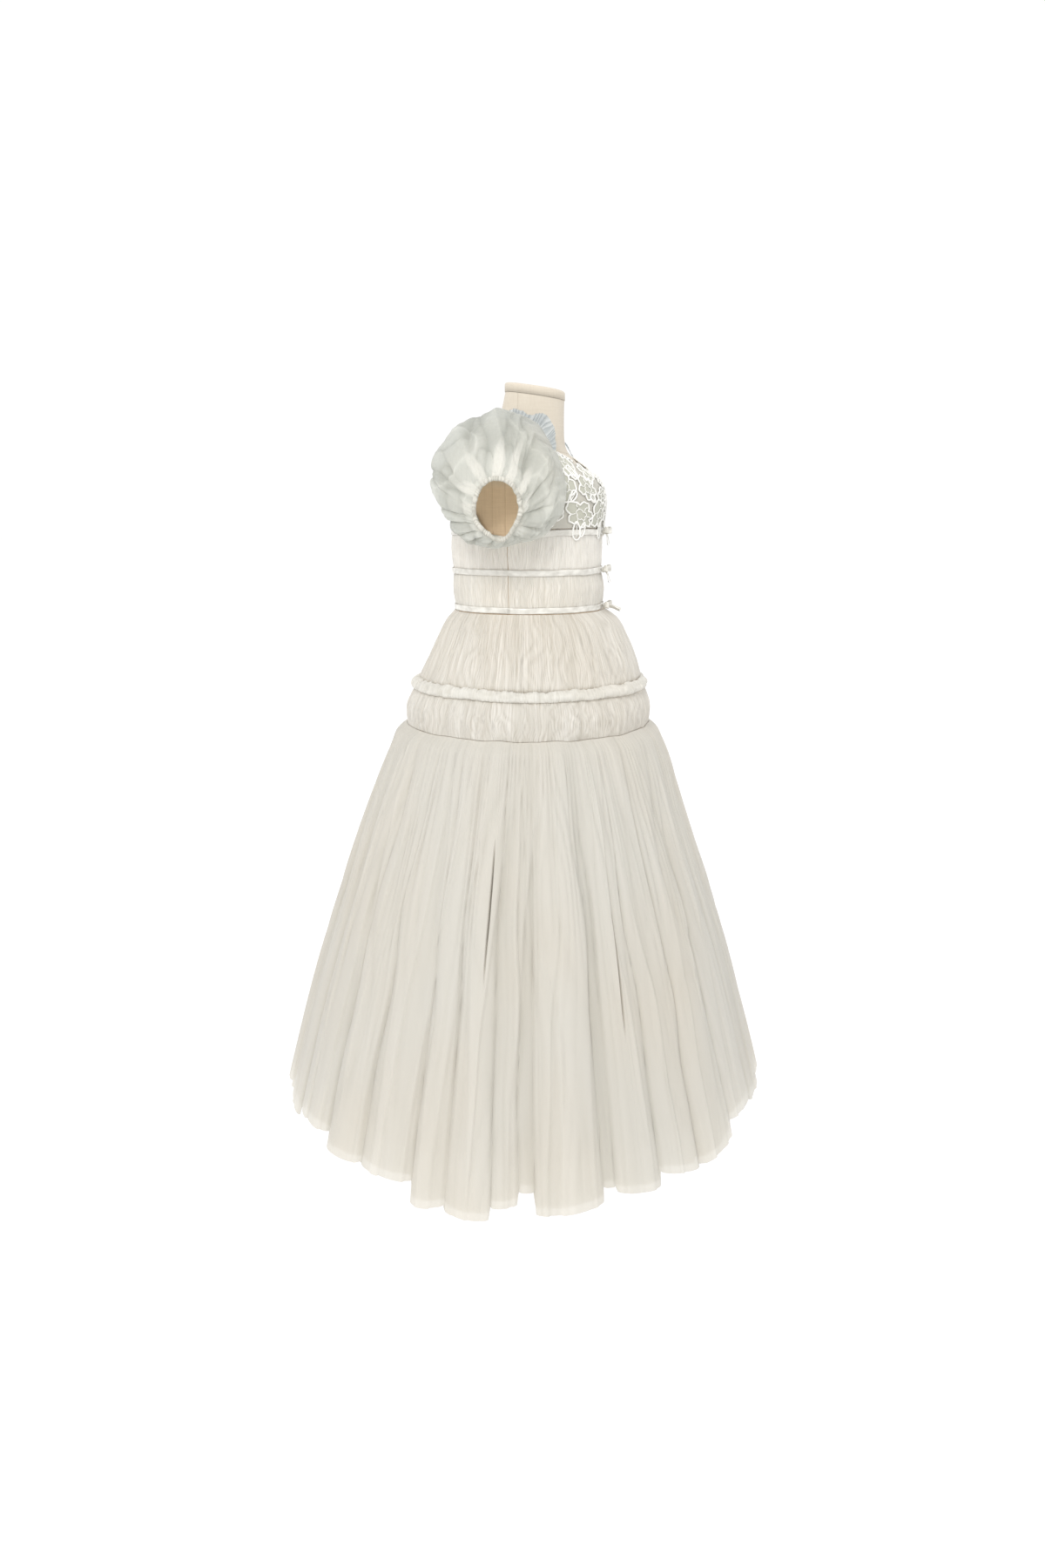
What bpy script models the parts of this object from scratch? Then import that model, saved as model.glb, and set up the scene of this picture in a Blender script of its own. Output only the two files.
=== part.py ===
"""Tulle gown on a dress form.

A child's gown with puff sleeves, a corded lace bodice, gathered bands under satin ribbons, two
gathered hip tiers with a ruched roll between them, and a long tulle skirt in soft folds. It stands
on a smooth limbless dress form with a round steel base.

Units are metres, +Z is up, the front faces -Y and the wearer's left is +X. An angle round the body
is measured from the front towards the wearer's left, so the right side is at -90 degrees.
"""

import math

import bmesh
import bpy
import numpy as np

SEAM_GAP = 0.0003
BODY_SIDES = 32
SHARP_ANGLE = math.radians(40.0)
FOLD_ROUNDNESS = 0.8

# Cloth walls and what stands off the form.
CLOTH_WALL = 0.0015
FORM_CLEARANCE = 0.0005
BODICE_WALL = 0.0017
BODICE_CLEARANCE = 0.0024
ARMHOLE_MARGIN = 0.0028
EDGE_SAMPLES = 91
BODICE_COLUMNS = 13
BODICE_ROWS = 9
BODICE_PANELS = (
    ("bodice_front", 0.0, 0.8640, 0.0240),
    ("bodice_back", math.pi, 0.8720, 0.0160),
)
LACE_WALL = 0.0013

# Heights of the level seams, from the floor.
UNDERARM_SEAM = 0.7930
MIDDLE_SEAM = 0.7420
WAIST_SEAM = 0.6933
ROLL_CENTRE = 0.6020
SKIRT_SEAM = 0.5497

# The dress form: one row for each section. The lean tips a section forwards and down at the front.
FORM_COLUMNS = ("height", "front", "back", "side", "lean")
FORM_SECTIONS = (
    (0.5900, 0.0960, 0.0980, 0.1080, 0.0),
    (0.6000, 0.0985, 0.1010, 0.1115, 0.0),
    (0.6300, 0.0975, 0.0985, 0.1090, 0.0),
    (0.6650, 0.0945, 0.0890, 0.1010, 0.0),
    (0.6933, 0.0930, 0.0830, 0.0975, 0.0),
    (0.7180, 0.0935, 0.0850, 0.0990, 0.0),
    (0.7420, 0.0910, 0.0855, 0.1010, 0.0),
    (0.7680, 0.0900, 0.0865, 0.1035, 0.0),
    (0.7930, 0.0912, 0.0855, 0.1055, 0.0),
    (0.8250, 0.0940, 0.0815, 0.1065, 0.0),
    (0.8420, 0.0905, 0.0790, 0.1070, 0.0),
    (0.8530, 0.0845, 0.0765, 0.1065, 0.0),
    (0.8640, 0.0705, 0.0730, 0.1045, 0.0),
    (0.8740, 0.0590, 0.0660, 0.0960, 0.0),
    (0.8840, 0.0505, 0.0560, 0.0800, 0.1),
    (0.8960, 0.0468, 0.0450, 0.0590, 0.3),
    (0.9080, 0.0462, 0.0375, 0.0450, 0.5),
    (0.9280, 0.0462, 0.0300, 0.0375, 0.8),
    (0.9505, 0.0466, 0.0245, 0.0345, 1.0),
)
FORM_SQUARENESS = 2.3
NECK_TILT = math.tan(math.radians(8.0))
CAP_THICKNESS = 0.0110
CAP_EDGE_ROUND = 0.0030
CAP_OVERHANG = 0.0008

# The stand under the form.
BASE_RADIUS = 0.1400
BASE_THICKNESS = 0.0080
BASE_EDGE_ROUND = 0.0025
COLLAR_RADIUS = 0.0240
COLLAR_HEIGHT = 0.0220
POLE_RADIUS = 0.0125

# The outside of the gown below the waist: one row for each section.
GOWN_COLUMNS = ("height", "front", "back", "side")
GOWN_SECTIONS = (
    (0.0300, 0.3320, 0.3320, 0.3300),
    (0.1012, 0.3135, 0.3135, 0.3120),
    (0.2218, 0.2805, 0.2805, 0.2790),
    (0.3398, 0.2430, 0.2430, 0.2420),
    (0.4556, 0.2025, 0.2025, 0.2020),
    (0.5127, 0.1840, 0.1780, 0.1810),
    (0.5375, 0.1715, 0.1665, 0.1690),
    (0.5497, 0.1615, 0.1550, 0.1585),
    (0.5690, 0.1620, 0.1550, 0.1585),
    (0.5945, 0.1540, 0.1440, 0.1490),
    (0.6095, 0.1490, 0.1370, 0.1430),
    (0.6300, 0.1435, 0.1265, 0.1350),
    (0.6550, 0.1330, 0.1145, 0.1250),
    (0.6800, 0.1190, 0.1015, 0.1140),
    (0.6930, 0.1010, 0.0895, 0.1040),
)
GOWN_SQUARENESS = 2.1

# The skirt's folds: one row for each fold of half the skirt, from the back to the front on the
# right side. The left side repeats them from the front to the back.
FOLD_COLUMNS = ("width_degrees", "depth", "hem_drop")
SKIRT_FOLDS = (
    (10.0, 0.0100, 0.000),
    (13.0, 0.0130, 0.003),
    (12.0, 0.0090, 0.001),
    (12.0, 0.0140, 0.004),
    (13.0, 0.0120, 0.003),
    (15.0, 0.0100, 0.001),
    (9.0, 0.0140, 0.006),
    (10.0, 0.0110, 0.004),
    (9.0, 0.0130, 0.001),
    (13.0, 0.0120, 0.005),
    (7.0, 0.0080, 0.002),
    (7.0, 0.0090, 0.001),
    (16.0, 0.0150, 0.003),
    (11.0, 0.0110, 0.002),
    (12.0, 0.0130, 0.000),
    (11.0, 0.0090, 0.001),
)
SKIRT_ROW_COLUMNS = ("height_share", "depth_share")
SKIRT_ROWS = (
    (0.000, 1.00),
    (0.300, 0.90),
    (0.620, 0.70),
    (0.910, 0.35),
    (0.976, 0.16),
    (1.000, 0.05),
)
HEM_MEAN_HEIGHT = 0.0450
HEM_SWAY = 0.0115
SKIRT_SINK = 0.0080
SKIRT_STEPS_PER_FOLD = 3

# The gathers of the bands and the hip tiers. Gathers differ in depth by a slow beat. A tier has a
# height and a share of its puff for each section.
GATHER_UNEVENNESS = 0.20
GATHER_BEAT = 2.4
ROUNDING_SLACK = 1e-6
BAND_GATHERS = 24
BAND_DEPTH = 0.0016
BAND_PUFF = 0.0018
BAND_PINCH = 0.0004
BAND_STEPS_PER_GATHER = 4
BAND_ROWS = (
    (0.0, 0.0),
    (0.5, 1.0),
    (1.0, 0.0),
)
TIER_GATHERS = 28
TIER_STEPS_PER_GATHER = 3
TIER_DEPTH = 0.0028
TIER_WALL = 0.0018
TIER_UPPER_SECTIONS = (
    (0.6095, 0.3),
    (0.6300, 1.0),
    (0.6550, 1.0),
    (0.6800, 0.9),
    (WAIST_SEAM - SEAM_GAP, 0.3),
)
TIER_LOWER_SECTIONS = (
    (SKIRT_SEAM + SEAM_GAP, 0.3),
    (0.5620, 1.0),
    (0.5820, 1.0),
    (0.5945, 0.3),
)

# The lining under the tulle skirt.
LINING_HEM_HEIGHT = 0.0750
LINING_TOP = 0.5470
LINING_ROWS = 4
LINING_ROW_SPREAD = 1.6
LINING_INSET_TOP = 0.0030
LINING_INSET_HEM = 0.0200

# The ruched roll between the tiers.
ROLL_HALF_HEIGHT = 0.0064
ROLL_HALF_DEPTH = 0.0066
ROLL_WAVE = 0.0008
ROLL_WAVES = 9
ROLL_RUCHES = 23
ROLL_RUCHE_SHARE = 0.06
ROLL_SINK = 0.0010
ROLL_STEPS = 56
ROLL_SIDES = 6

# The satin ribbons lie over the bands, and each has a small bow at the centre front.
RIBBON_WIDTH = 0.0070
RIBBON_WALL = 0.0010
RIBBON_STAND_OFF = 0.0042
RIBBON_TABLE_COLUMNS = ("place", "height", "tail_forward", "tail_drop")
RIBBONS = (
    ("upper", 0.7885, 0.0060, 0.0150),
    ("middle", MIDDLE_SEAM, 0.0080, 0.0140),
    ("waist", 0.6975, 0.0200, 0.0040),
)
BOW_LOOP_REACH = 0.0165
BOW_LOOP_FORWARD = 0.0095
BOW_LOOP_RISE = 0.0015
BOW_LOOP_SWEEP = 1.4
BOW_LOOP_SWELL = 0.0026
BOW_LOOP_FULLNESS = 0.8
BOW_LOOP_THINNING = 0.25
BOW_LOOP_RINGS = 9
BOW_LOOP_SIDES = 6
BOW_KNOT_HALF_HEIGHT = 0.0022
BOW_KNOT_HALF_DEPTH = 0.0016
BOW_KNOT_DEPTH = 0.0045
BOW_TAIL_HANG = 1.2
BOW_TAIL_PLACES = (-1.0, -0.5, 0.0, 0.5, 1.0)
BOW_TAIL_REACH = 0.0095
BOW_TAIL_WIDTH = 0.0050
BOW_TAIL_WALL = 0.0012

# The puff sleeve's sections, from the armhole to the cuff, for the wearer's left side.
SLEEVE_COLUMNS = ("top_out", "top_height", "bottom_out", "bottom_height", "front", "back", "fold")
SLEEVE_SECTIONS = (
    (0.0520, 0.9160, 0.1120, 0.7840, 0.0690, 0.0650, 0.10),
    (0.0700, 0.9255, 0.1260, 0.7790, 0.0670, 0.0740, 0.60),
    (0.0980, 0.9270, 0.1450, 0.7755, 0.0610, 0.0810, 1.00),
    (0.1260, 0.9120, 0.1570, 0.7750, 0.0585, 0.0800, 1.00),
    (0.1500, 0.8880, 0.1660, 0.7765, 0.0510, 0.0670, 0.80),
    (0.1680, 0.8630, 0.1735, 0.7795, 0.0410, 0.0410, 0.45),
    (0.1765, 0.8476, 0.1765, 0.7829, 0.0311, 0.0216, 0.10),
)
# The shape that a sleeve takes against an oval: one row for each turn in degrees, from the top over
# the front, with the armhole's share of the oval and the full puff's on each side.
OUTLINE_COLUMNS = ("turn", "armhole", "right", "left")
SLEEVE_OUTLINE = (
    (0.0, 1.00, 0.98, 0.98),
    (20.0, 0.97, 0.96, 0.94),
    (40.0, 0.88, 0.85, 0.80),
    (52.0, 0.86, 0.90, 0.78),
    (64.0, 0.86, 0.98, 0.81),
    (76.0, 0.92, 1.00, 0.90),
    (90.0, 1.00, 1.00, 0.98),
    (105.0, 1.00, 1.06, 1.04),
    (118.0, 1.00, 1.17, 1.13),
    (132.0, 1.00, 1.14, 1.15),
    (150.0, 1.00, 1.07, 1.06),
    (170.0, 1.00, 1.01, 1.02),
    (205.0, 1.00, 1.00, 0.99),
    (222.0, 1.00, 0.97, 0.98),
    (240.0, 1.00, 0.89, 0.91),
    (258.0, 1.00, 0.96, 0.95),
    (272.0, 1.00, 1.01, 1.01),
    (284.0, 1.00, 1.04, 1.02),
    (302.0, 1.00, 0.96, 0.97),
    (325.0, 1.00, 0.98, 0.99),
)
ARMHOLE_WEIGHTS = (1.0, 0.4, 0.0, 0.0, 0.0, 0.0, 0.0)
PUFF_WEIGHTS = (0.0, 0.6, 1.0, 1.0, 0.85, 0.45, 0.0)
SLEEVE_FOLDS = 14
SLEEVE_STEPS_PER_FOLD = 4
SLEEVE_FOLD_DEPTH = 0.0045
SLEEVE_WALL = 0.0014
SLEEVE_LINING_INSETS = (0.0090, 0.0080, 0.0060, 0.0021)
SLEEVE_LINING_STEPS = 16
SLEEVE_LINING_FIRST = 2
CUFF_RADIUS = 0.0026
CUFF_RUCHE_SHARE = 0.12
CUFF_STEPS = 24
CUFF_SIDES = 6
FRILL_START = math.radians(-62.0)
FRILL_END = math.radians(86.0)
FRILL_WAVES = 7
FRILL_STEPS_PER_WAVE = 4
FRILL_REACH = 0.0125
FRILL_WAVE = 0.0024
FRILL_WALL = 0.0012
FRILL_UPRIGHT = 0.95
FRILL_LEAN = 0.20
FRILL_SHARES = (0.0, 0.5, 1.0)
FRILL_TAPER_START = math.radians(20.0)
FRILL_FRONT_SHARES = {"right": 0.90, "left": 0.35}

# The corded lace on the front: one row for each motif, placed round the body and up it.
MOTIF_COLUMNS = ("angle", "height", "across", "up", "lobes", "turn")
LACE_MOTIFS = (
    (-66.0, 0.8130, 0.0170, 0.0125, 5, 20.0),
    (-38.0, 0.8120, 0.0180, 0.0135, 6, -35.0),
    (-10.0, 0.8105, 0.0165, 0.0125, 5, 10.0),
    (18.0, 0.8120, 0.0175, 0.0135, 6, 40.0),
    (45.0, 0.8110, 0.0165, 0.0125, 5, -15.0),
    (70.0, 0.8125, 0.0150, 0.0120, 5, 25.0),
    (-44.0, 0.8375, 0.0110, 0.0095, 5, 50.0),
    (-23.0, 0.8415, 0.0150, 0.0105, 6, -20.0),
    (4.0, 0.8400, 0.0150, 0.0110, 5, 15.0),
    (25.0, 0.8415, 0.0130, 0.0105, 6, -40.0),
    (45.0, 0.8365, 0.0090, 0.0085, 5, 10.0),
)
MOTIF_STEPS = 16
MOTIF_LOBE_DEPTH = 0.16
MOTIF_LIFT = 0.0008
MOTIF_RINGS = (
    (0.55, 0.0),
    (1.0, 0.0),
    (1.0, LACE_WALL),
    (0.55, LACE_WALL),
)

# Finishes: base colour, roughness and metallic value.
FINISHES = {
    "linen": ((0.78, 0.68, 0.55), 0.85, 0.0),
    "steel": ((0.62, 0.62, 0.62), 0.35, 1.0),
    "tulle": ((0.72, 0.70, 0.65), 0.75, 0.0),
    "pale_tulle": ((0.64, 0.68, 0.64), 0.70, 0.0),
    "nude_lining": ((0.74, 0.64, 0.52), 0.60, 0.0),
    "satin": ((0.80, 0.76, 0.66), 0.30, 0.0),
    "cord": ((0.90, 0.89, 0.85), 0.50, 0.0),
}


def clear_scene():
    """Remove every object of the open scene."""
    for item in list(bpy.data.objects):
        bpy.data.objects.remove(item, do_unlink=True)


def finish_material(name):
    """Return the Principled material of that finish, made once."""
    material = bpy.data.materials.get(name)
    if material is None:
        colour, roughness, metallic = FINISHES[name]
        material = bpy.data.materials.new(name)
        material.use_nodes = True
        shader = material.node_tree.nodes["Principled BSDF"]
        shader.inputs["Base Color"].default_value = (*colour, 1.0)
        shader.inputs["Roughness"].default_value = roughness
        shader.inputs["Metallic"].default_value = metallic
    return material


def add_piece(name, points, faces, finish):
    """Make one closed piece from its points and faces, with all faces turned outwards."""
    mesh = bpy.data.meshes.new(name)
    mesh.from_pydata([tuple(point) for point in points], [], faces)
    shape = bmesh.new()
    shape.from_mesh(mesh)
    bmesh.ops.recalc_face_normals(shape, faces=shape.faces)
    shape.to_mesh(mesh)
    shape.free()
    mesh.shade_smooth()
    mesh.set_sharp_from_angle(angle=SHARP_ANGLE)
    mesh.materials.append(finish_material(finish))
    piece = bpy.data.objects.new(name, mesh)
    bpy.context.scene.collection.objects.link(piece)
    return piece


def column(table, columns, name):
    """Return one named column of a table as an array."""
    return np.array([row[columns.index(name)] for row in table], dtype=float)


def body_point(angle, height, radius):
    """Return the points at these angles round the body, heights and distances from its axis."""
    angle, height, radius = np.broadcast_arrays(angle, height, radius)
    return np.stack([radius * np.sin(angle), -radius * np.cos(angle), height], axis=-1)


def oval_radius(angle, front, back, side, squareness):
    """Return the distance from the axis to an oval with its own front, back and side reach."""
    reach = np.where(np.cos(angle) > 0.0, front, back)
    across = (np.abs(np.sin(angle)) / side) ** squareness
    along = (np.abs(np.cos(angle)) / reach) ** squareness
    return (across + along) ** (-1.0 / squareness)


def table_radius(angle, height, table, columns, squareness):
    """Return the radius of a body of ovals, with its sections joined by straight lines."""
    heights = column(table, columns, "height")
    reach = {
        name: np.interp(height, heights, column(table, columns, name))
        for name in ("front", "back", "side")
    }
    return oval_radius(angle, reach["front"], reach["back"], reach["side"], squareness)


def form_radius(angle, height):
    """Return the dress form's radius."""
    return table_radius(angle, height, FORM_SECTIONS, FORM_COLUMNS, FORM_SQUARENESS)


def gown_radius(angle, height):
    """Return the radius of the gown's outside below the waist, in the valleys of its folds."""
    return table_radius(angle, height, GOWN_SECTIONS, GOWN_COLUMNS, GOWN_SQUARENESS)


def circle_angles(count):
    """Return that many angles once round the body."""
    return np.arange(count) * 2.0 * math.pi / count


def lobe(phase):
    """Return the height of a rounded fold at a phase from 0 to 1, with sharp valleys."""
    return np.sin(math.pi * np.clip(phase, 0.0, 1.0)) ** FOLD_ROUNDNESS


def stitch(coarse, fine):
    """Join two rows of points by triangles, where the fine row has a whole multiple of the steps."""
    faces = []
    steps = (len(fine) - 1) // (len(coarse) - 1)
    half = steps // 2
    for index in range(len(coarse) - 1):
        first = coarse[index]
        second = coarse[index + 1]
        run = fine[index * steps:(index + 1) * steps + 1]
        for place in range(half):
            faces.append((first, run[place], run[place + 1]))
        faces.append((first, run[half], second))
        for place in range(half, steps):
            faces.append((second, run[place], run[place + 1]))
    return faces


def grid_faces(rows, columns, start, closed):
    """Return the quads of a grid of points, which may close round on itself."""
    faces = []
    spans = columns if closed else columns - 1
    for row in range(rows - 1):
        for place in range(spans):
            after = (place + 1) % columns
            lower = start + row * columns
            upper = lower + columns
            faces.append((lower + place, lower + after, upper + after, upper + place))
    return faces


def row_indices(row, columns, start, closed):
    """Return the point numbers of one row of a grid, with the first again at the end of a ring."""
    indices = [start + row * columns + place for place in range(columns)]
    return indices + indices[:1] if closed else indices


def add_wall(name, outer, inner, finish, closed=True):
    """Make a cloth wall between an outer and an inner grid of points, stitched at its edges."""
    outer_rows, outer_columns = outer.shape[:2]
    inner_rows, inner_columns = inner.shape[:2]
    points = np.concatenate([outer.reshape(-1, 3), inner.reshape(-1, 3)])
    start = outer_rows * outer_columns
    faces = grid_faces(outer_rows, outer_columns, 0, closed)
    faces += grid_faces(inner_rows, inner_columns, start, closed)
    for outer_row, inner_row in ((0, 0), (outer_rows - 1, inner_rows - 1)):
        faces += stitch(
            row_indices(inner_row, inner_columns, start, closed),
            row_indices(outer_row, outer_columns, 0, closed),
        )
    if not closed:
        for outer_place, inner_place in ((0, 0), (outer_columns - 1, inner_columns - 1)):
            faces += stitch(
                [start + row * inner_columns + inner_place for row in range(inner_rows)],
                [row * outer_columns + outer_place for row in range(outer_rows)],
            )
    return add_piece(name, points, faces, finish)


def add_solid(name, rings, finish):
    """Make a solid from rings of points, closed by a flat face at each end."""
    rows, sides = rings.shape[:2]
    faces = grid_faces(rows, sides, 0, True)
    faces.append(tuple(range(sides)))
    faces.append(tuple((rows - 1) * sides + place for place in range(sides)))
    return add_piece(name, rings.reshape(-1, 3), faces, finish)


def add_torus(name, rings, finish):
    """Make a closed tube from rings of points whose last ring joins the first."""
    closed_rings = np.concatenate([rings, rings[:1]])
    rows, sides = rings.shape[:2]
    faces = [
        tuple(index % (rows * sides) for index in face)
        for face in grid_faces(rows + 1, sides, 0, True)
    ]
    return add_piece(name, closed_rings[:-1].reshape(-1, 3), faces, finish)


def form_point(angle, height, stand_off):
    """Return points at a distance off the form, whose neck tips forwards towards its top."""
    heights = column(FORM_SECTIONS, FORM_COLUMNS, "height")
    lean = np.interp(height, heights, column(FORM_SECTIONS, FORM_COLUMNS, "lean"))
    points = body_point(angle, height, form_radius(angle, height) + stand_off)
    points[..., 2] += points[..., 1] * NECK_TILT * lean
    return points


def build_form():
    """Make the linen covered form and the cap on its neck."""
    heights = column(FORM_SECTIONS, FORM_COLUMNS, "height")[:, None]
    rings = form_point(circle_angles(BODY_SIDES)[None, :], heights, 0.0)
    add_solid("dress_form", rings, "linen")
    top = rings[-1]
    centre = top.mean(axis=0)
    lift = np.array([0.0, 0.0, 1.0])
    cap_rows = (
        (CAP_OVERHANG, SEAM_GAP),
        (CAP_OVERHANG, CAP_THICKNESS - CAP_EDGE_ROUND),
        (CAP_OVERHANG - CAP_EDGE_ROUND, CAP_THICKNESS),
    )
    cap = []
    for spread, height in cap_rows:
        scale = 1.0 + spread / np.linalg.norm(top - centre, axis=1, keepdims=True)
        cap.append(centre + (top - centre) * scale + lift * height)
    add_solid("neck_cap", np.array(cap), "linen")


def turned_rings(profile, sides):
    """Return the rings of a turned piece from rows of radius and height."""
    angles = circle_angles(sides)[None, :]
    radii = np.array([row[0] for row in profile])[:, None]
    heights = np.array([row[1] for row in profile])[:, None]
    return body_point(angles, heights, radii)


def build_stand():
    """Make the round base, the collar on it and the pole up to the form."""
    base = (
        (BASE_RADIUS - BASE_EDGE_ROUND, 0.0),
        (BASE_RADIUS, BASE_EDGE_ROUND),
        (BASE_RADIUS, BASE_THICKNESS - BASE_EDGE_ROUND),
        (BASE_RADIUS - BASE_EDGE_ROUND, BASE_THICKNESS),
    )
    add_solid("stand_base", turned_rings(base, BODY_SIDES), "steel")
    collar_foot = BASE_THICKNESS + SEAM_GAP
    collar_top = collar_foot + COLLAR_HEIGHT
    collar = (
        (COLLAR_RADIUS, collar_foot),
        (COLLAR_RADIUS, collar_foot + COLLAR_HEIGHT / 2.0),
        (POLE_RADIUS, collar_top),
    )
    add_solid("stand_collar", turned_rings(collar, BODY_SIDES // 2), "steel")
    form_foot = FORM_SECTIONS[0][FORM_COLUMNS.index("height")]
    pole = ((POLE_RADIUS, collar_top + SEAM_GAP), (POLE_RADIUS, form_foot - SEAM_GAP))
    add_solid("stand_pole", turned_rings(pole, BODY_SIDES // 2), "steel")


def sleeve_line(height):
    """Return how far out the sleeve's edge plane stands at a height."""
    top_out, top_height, bottom_out, bottom_height = SLEEVE_SECTIONS[0][:4]
    share = (top_height - height) / (top_height - bottom_height)
    return top_out + share * (bottom_out - top_out)


def panel_edge_angle(height, stand_off):
    """Return the angle at which a bodice panel meets the sleeve's edge or the side seam."""
    angles = np.linspace(0.0, math.pi / 2.0, EDGE_SAMPLES)
    edges = []
    for level in np.ravel(height):
        out = (form_radius(angles, level) + stand_off) * np.sin(angles)
        limit = sleeve_line(level) - ARMHOLE_MARGIN
        edges.append(np.interp(limit, out, angles))
    side_gap = SEAM_GAP / form_radius(math.pi / 2.0, UNDERARM_SEAM)
    return np.minimum(np.array(edges).reshape(np.shape(height)), math.pi / 2.0 - side_gap)


def bodice_grid(facing, neck_centre, neck_rise, stand_off):
    """Return a bodice panel's points, from its lower seam to its neckline."""
    across = np.linspace(-1.0, 1.0, BODICE_COLUMNS)[None, :]
    share = np.linspace(0.0, 1.0, BODICE_ROWS)[:, None]
    top = neck_centre + neck_rise * across ** 2
    lower = UNDERARM_SEAM + SEAM_GAP
    height = lower + share * (top - lower)
    edge = panel_edge_angle(height, stand_off)
    angle = facing + across * edge
    return form_point(angle, height, stand_off)


def build_bodice():
    """Make the bodice's front and back over the form."""
    for name, facing, neck_centre, neck_rise in BODICE_PANELS:
        grids = [
            bodice_grid(facing, neck_centre, neck_rise, stand_off)
            for stand_off in (BODICE_CLEARANCE + BODICE_WALL, BODICE_CLEARANCE)
        ]
        add_wall(name, grids[0], grids[1], "nude_lining", closed=False)


def gather_relief(angles, gathers, offset):
    """Return the share of depth of fine gathers, uneven from one to the next."""
    turns = (angles - offset) / (2.0 * math.pi) * gathers
    index = np.floor(turns + ROUNDING_SLACK)
    share = 1.0 - GATHER_UNEVENNESS * (1.0 - np.sin(GATHER_BEAT * index + offset))
    return lobe(turns - index) * share


def build_bands():
    """Make the two gathered bands under the bust, each with a front and a back."""
    steps = BAND_GATHERS * BAND_STEPS_PER_GATHER // 2
    for band, lower, upper in (
        ("upper", MIDDLE_SEAM, UNDERARM_SEAM),
        ("lower", WAIST_SEAM, MIDDLE_SEAM),
    ):
        for side, facing in (("front", 0.0), ("back", math.pi)):
            side_gap = SEAM_GAP / form_radius(math.pi / 2.0, lower)
            half_turn = math.pi / 2.0 - side_gap
            fine = facing + np.linspace(-half_turn, half_turn, steps + 1)
            plain = facing + np.linspace(-half_turn, half_turn, BODY_SIDES // 2 + 1)
            relief = gather_relief(facing + np.linspace(-math.pi / 2.0, math.pi / 2.0, steps + 1),
                                   BAND_GATHERS, facing)
            outer = []
            inner = []
            for share, puff in BAND_ROWS:
                height = lower + SEAM_GAP + share * (upper - lower - 2.0 * SEAM_GAP)
                base = form_radius(fine, height) + FORM_CLEARANCE + CLOTH_WALL
                depth = BAND_PINCH + puff * (BAND_DEPTH - BAND_PINCH)
                outer.append(body_point(fine, height, base + BAND_PUFF * puff + relief * depth))
                inner.append(body_point(plain, height, form_radius(plain, height) + FORM_CLEARANCE))
            add_wall(f"band_{band}_{side}", np.array(outer), np.array(inner), "tulle", closed=False)


def build_ribbons():
    """Make the three satin ribbons and the small bow on each."""
    angles = circle_angles(BODY_SIDES)[None, :]
    for place, centre, tail_forward, tail_drop in RIBBONS:
        heights = np.array([-0.5, 0.5])[:, None] * RIBBON_WIDTH + centre
        inner_radius = form_radius(angles, centre) + RIBBON_STAND_OFF
        outer = body_point(angles, heights, inner_radius + RIBBON_WALL)
        inner = body_point(angles, heights, inner_radius)
        add_wall(f"ribbon_{place}", outer, inner, "satin")
        front = float(form_radius(0.0, centre)) + RIBBON_STAND_OFF + RIBBON_WALL + SEAM_GAP
        build_bow(f"bow_{place}", front, centre, tail_forward, tail_drop)


def ellipse_rings(centres, across, forward, sides):
    """Return upright oval rings round centres that run along X."""
    turn = circle_angles(sides)[None, :]
    rings = np.repeat(centres[:, None, :], sides, axis=1)
    rings[..., 1] += forward[:, None] * np.cos(turn)
    rings[..., 2] += across[:, None] * np.sin(turn)
    return rings


def build_bow(name, front, height, tail_forward, tail_drop):
    """Make a bow's two loops with its knot, and the tails under it."""
    share = np.linspace(-1.0, 1.0, BOW_LOOP_RINGS)
    reach = np.abs(share)
    swell = np.sin(math.pi * reach ** BOW_LOOP_FULLNESS)
    half_height = BOW_KNOT_HALF_HEIGHT + BOW_LOOP_SWELL * swell
    half_depth = BOW_KNOT_HALF_DEPTH * (1.0 - BOW_LOOP_THINNING * reach)
    centres = np.stack([
        share * BOW_LOOP_REACH,
        -(front + BOW_KNOT_HALF_DEPTH + BOW_LOOP_FORWARD * reach ** BOW_LOOP_SWEEP),
        height + BOW_LOOP_RISE * reach,
    ], axis=-1)
    add_solid(f"{name}_loops", ellipse_rings(centres, half_height, half_depth, BOW_LOOP_SIDES),
              "satin")
    side = np.array(BOW_TAIL_PLACES)
    fall = np.abs(side)
    middles = np.stack([
        side * BOW_TAIL_REACH,
        -(front + BOW_KNOT_DEPTH + tail_forward * fall),
        height - tail_drop * fall ** BOW_TAIL_HANG,
    ], axis=-1)
    corners = np.array([(-1.0, -1.0), (1.0, -1.0), (1.0, 1.0), (-1.0, 1.0)])
    tails = np.repeat(middles[:, None, :], len(corners), axis=1)
    tails[..., 1] += corners[None, :, 0] * BOW_TAIL_WALL / 2.0
    tails[..., 2] += corners[None, :, 1] * BOW_TAIL_WIDTH / 2.0
    add_solid(f"{name}_tails", tails, "satin")


def build_tier(name, sections):
    """Make a gathered tier from its sections of height and puff."""
    fine = circle_angles(TIER_GATHERS * TIER_STEPS_PER_GATHER)
    plain = circle_angles(TIER_GATHERS)
    relief = gather_relief(fine, TIER_GATHERS, 0.0)
    outer = []
    inner = []
    for height, puff in sections:
        base = gown_radius(fine, height)
        outer.append(body_point(fine, height, base - TIER_DEPTH * puff * (1.0 - relief)))
        inside = gown_radius(plain, height) - TIER_DEPTH * puff - TIER_WALL
        inner.append(body_point(plain, height, inside))
    add_wall(name, np.array(outer), np.array(inner), "tulle")


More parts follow.
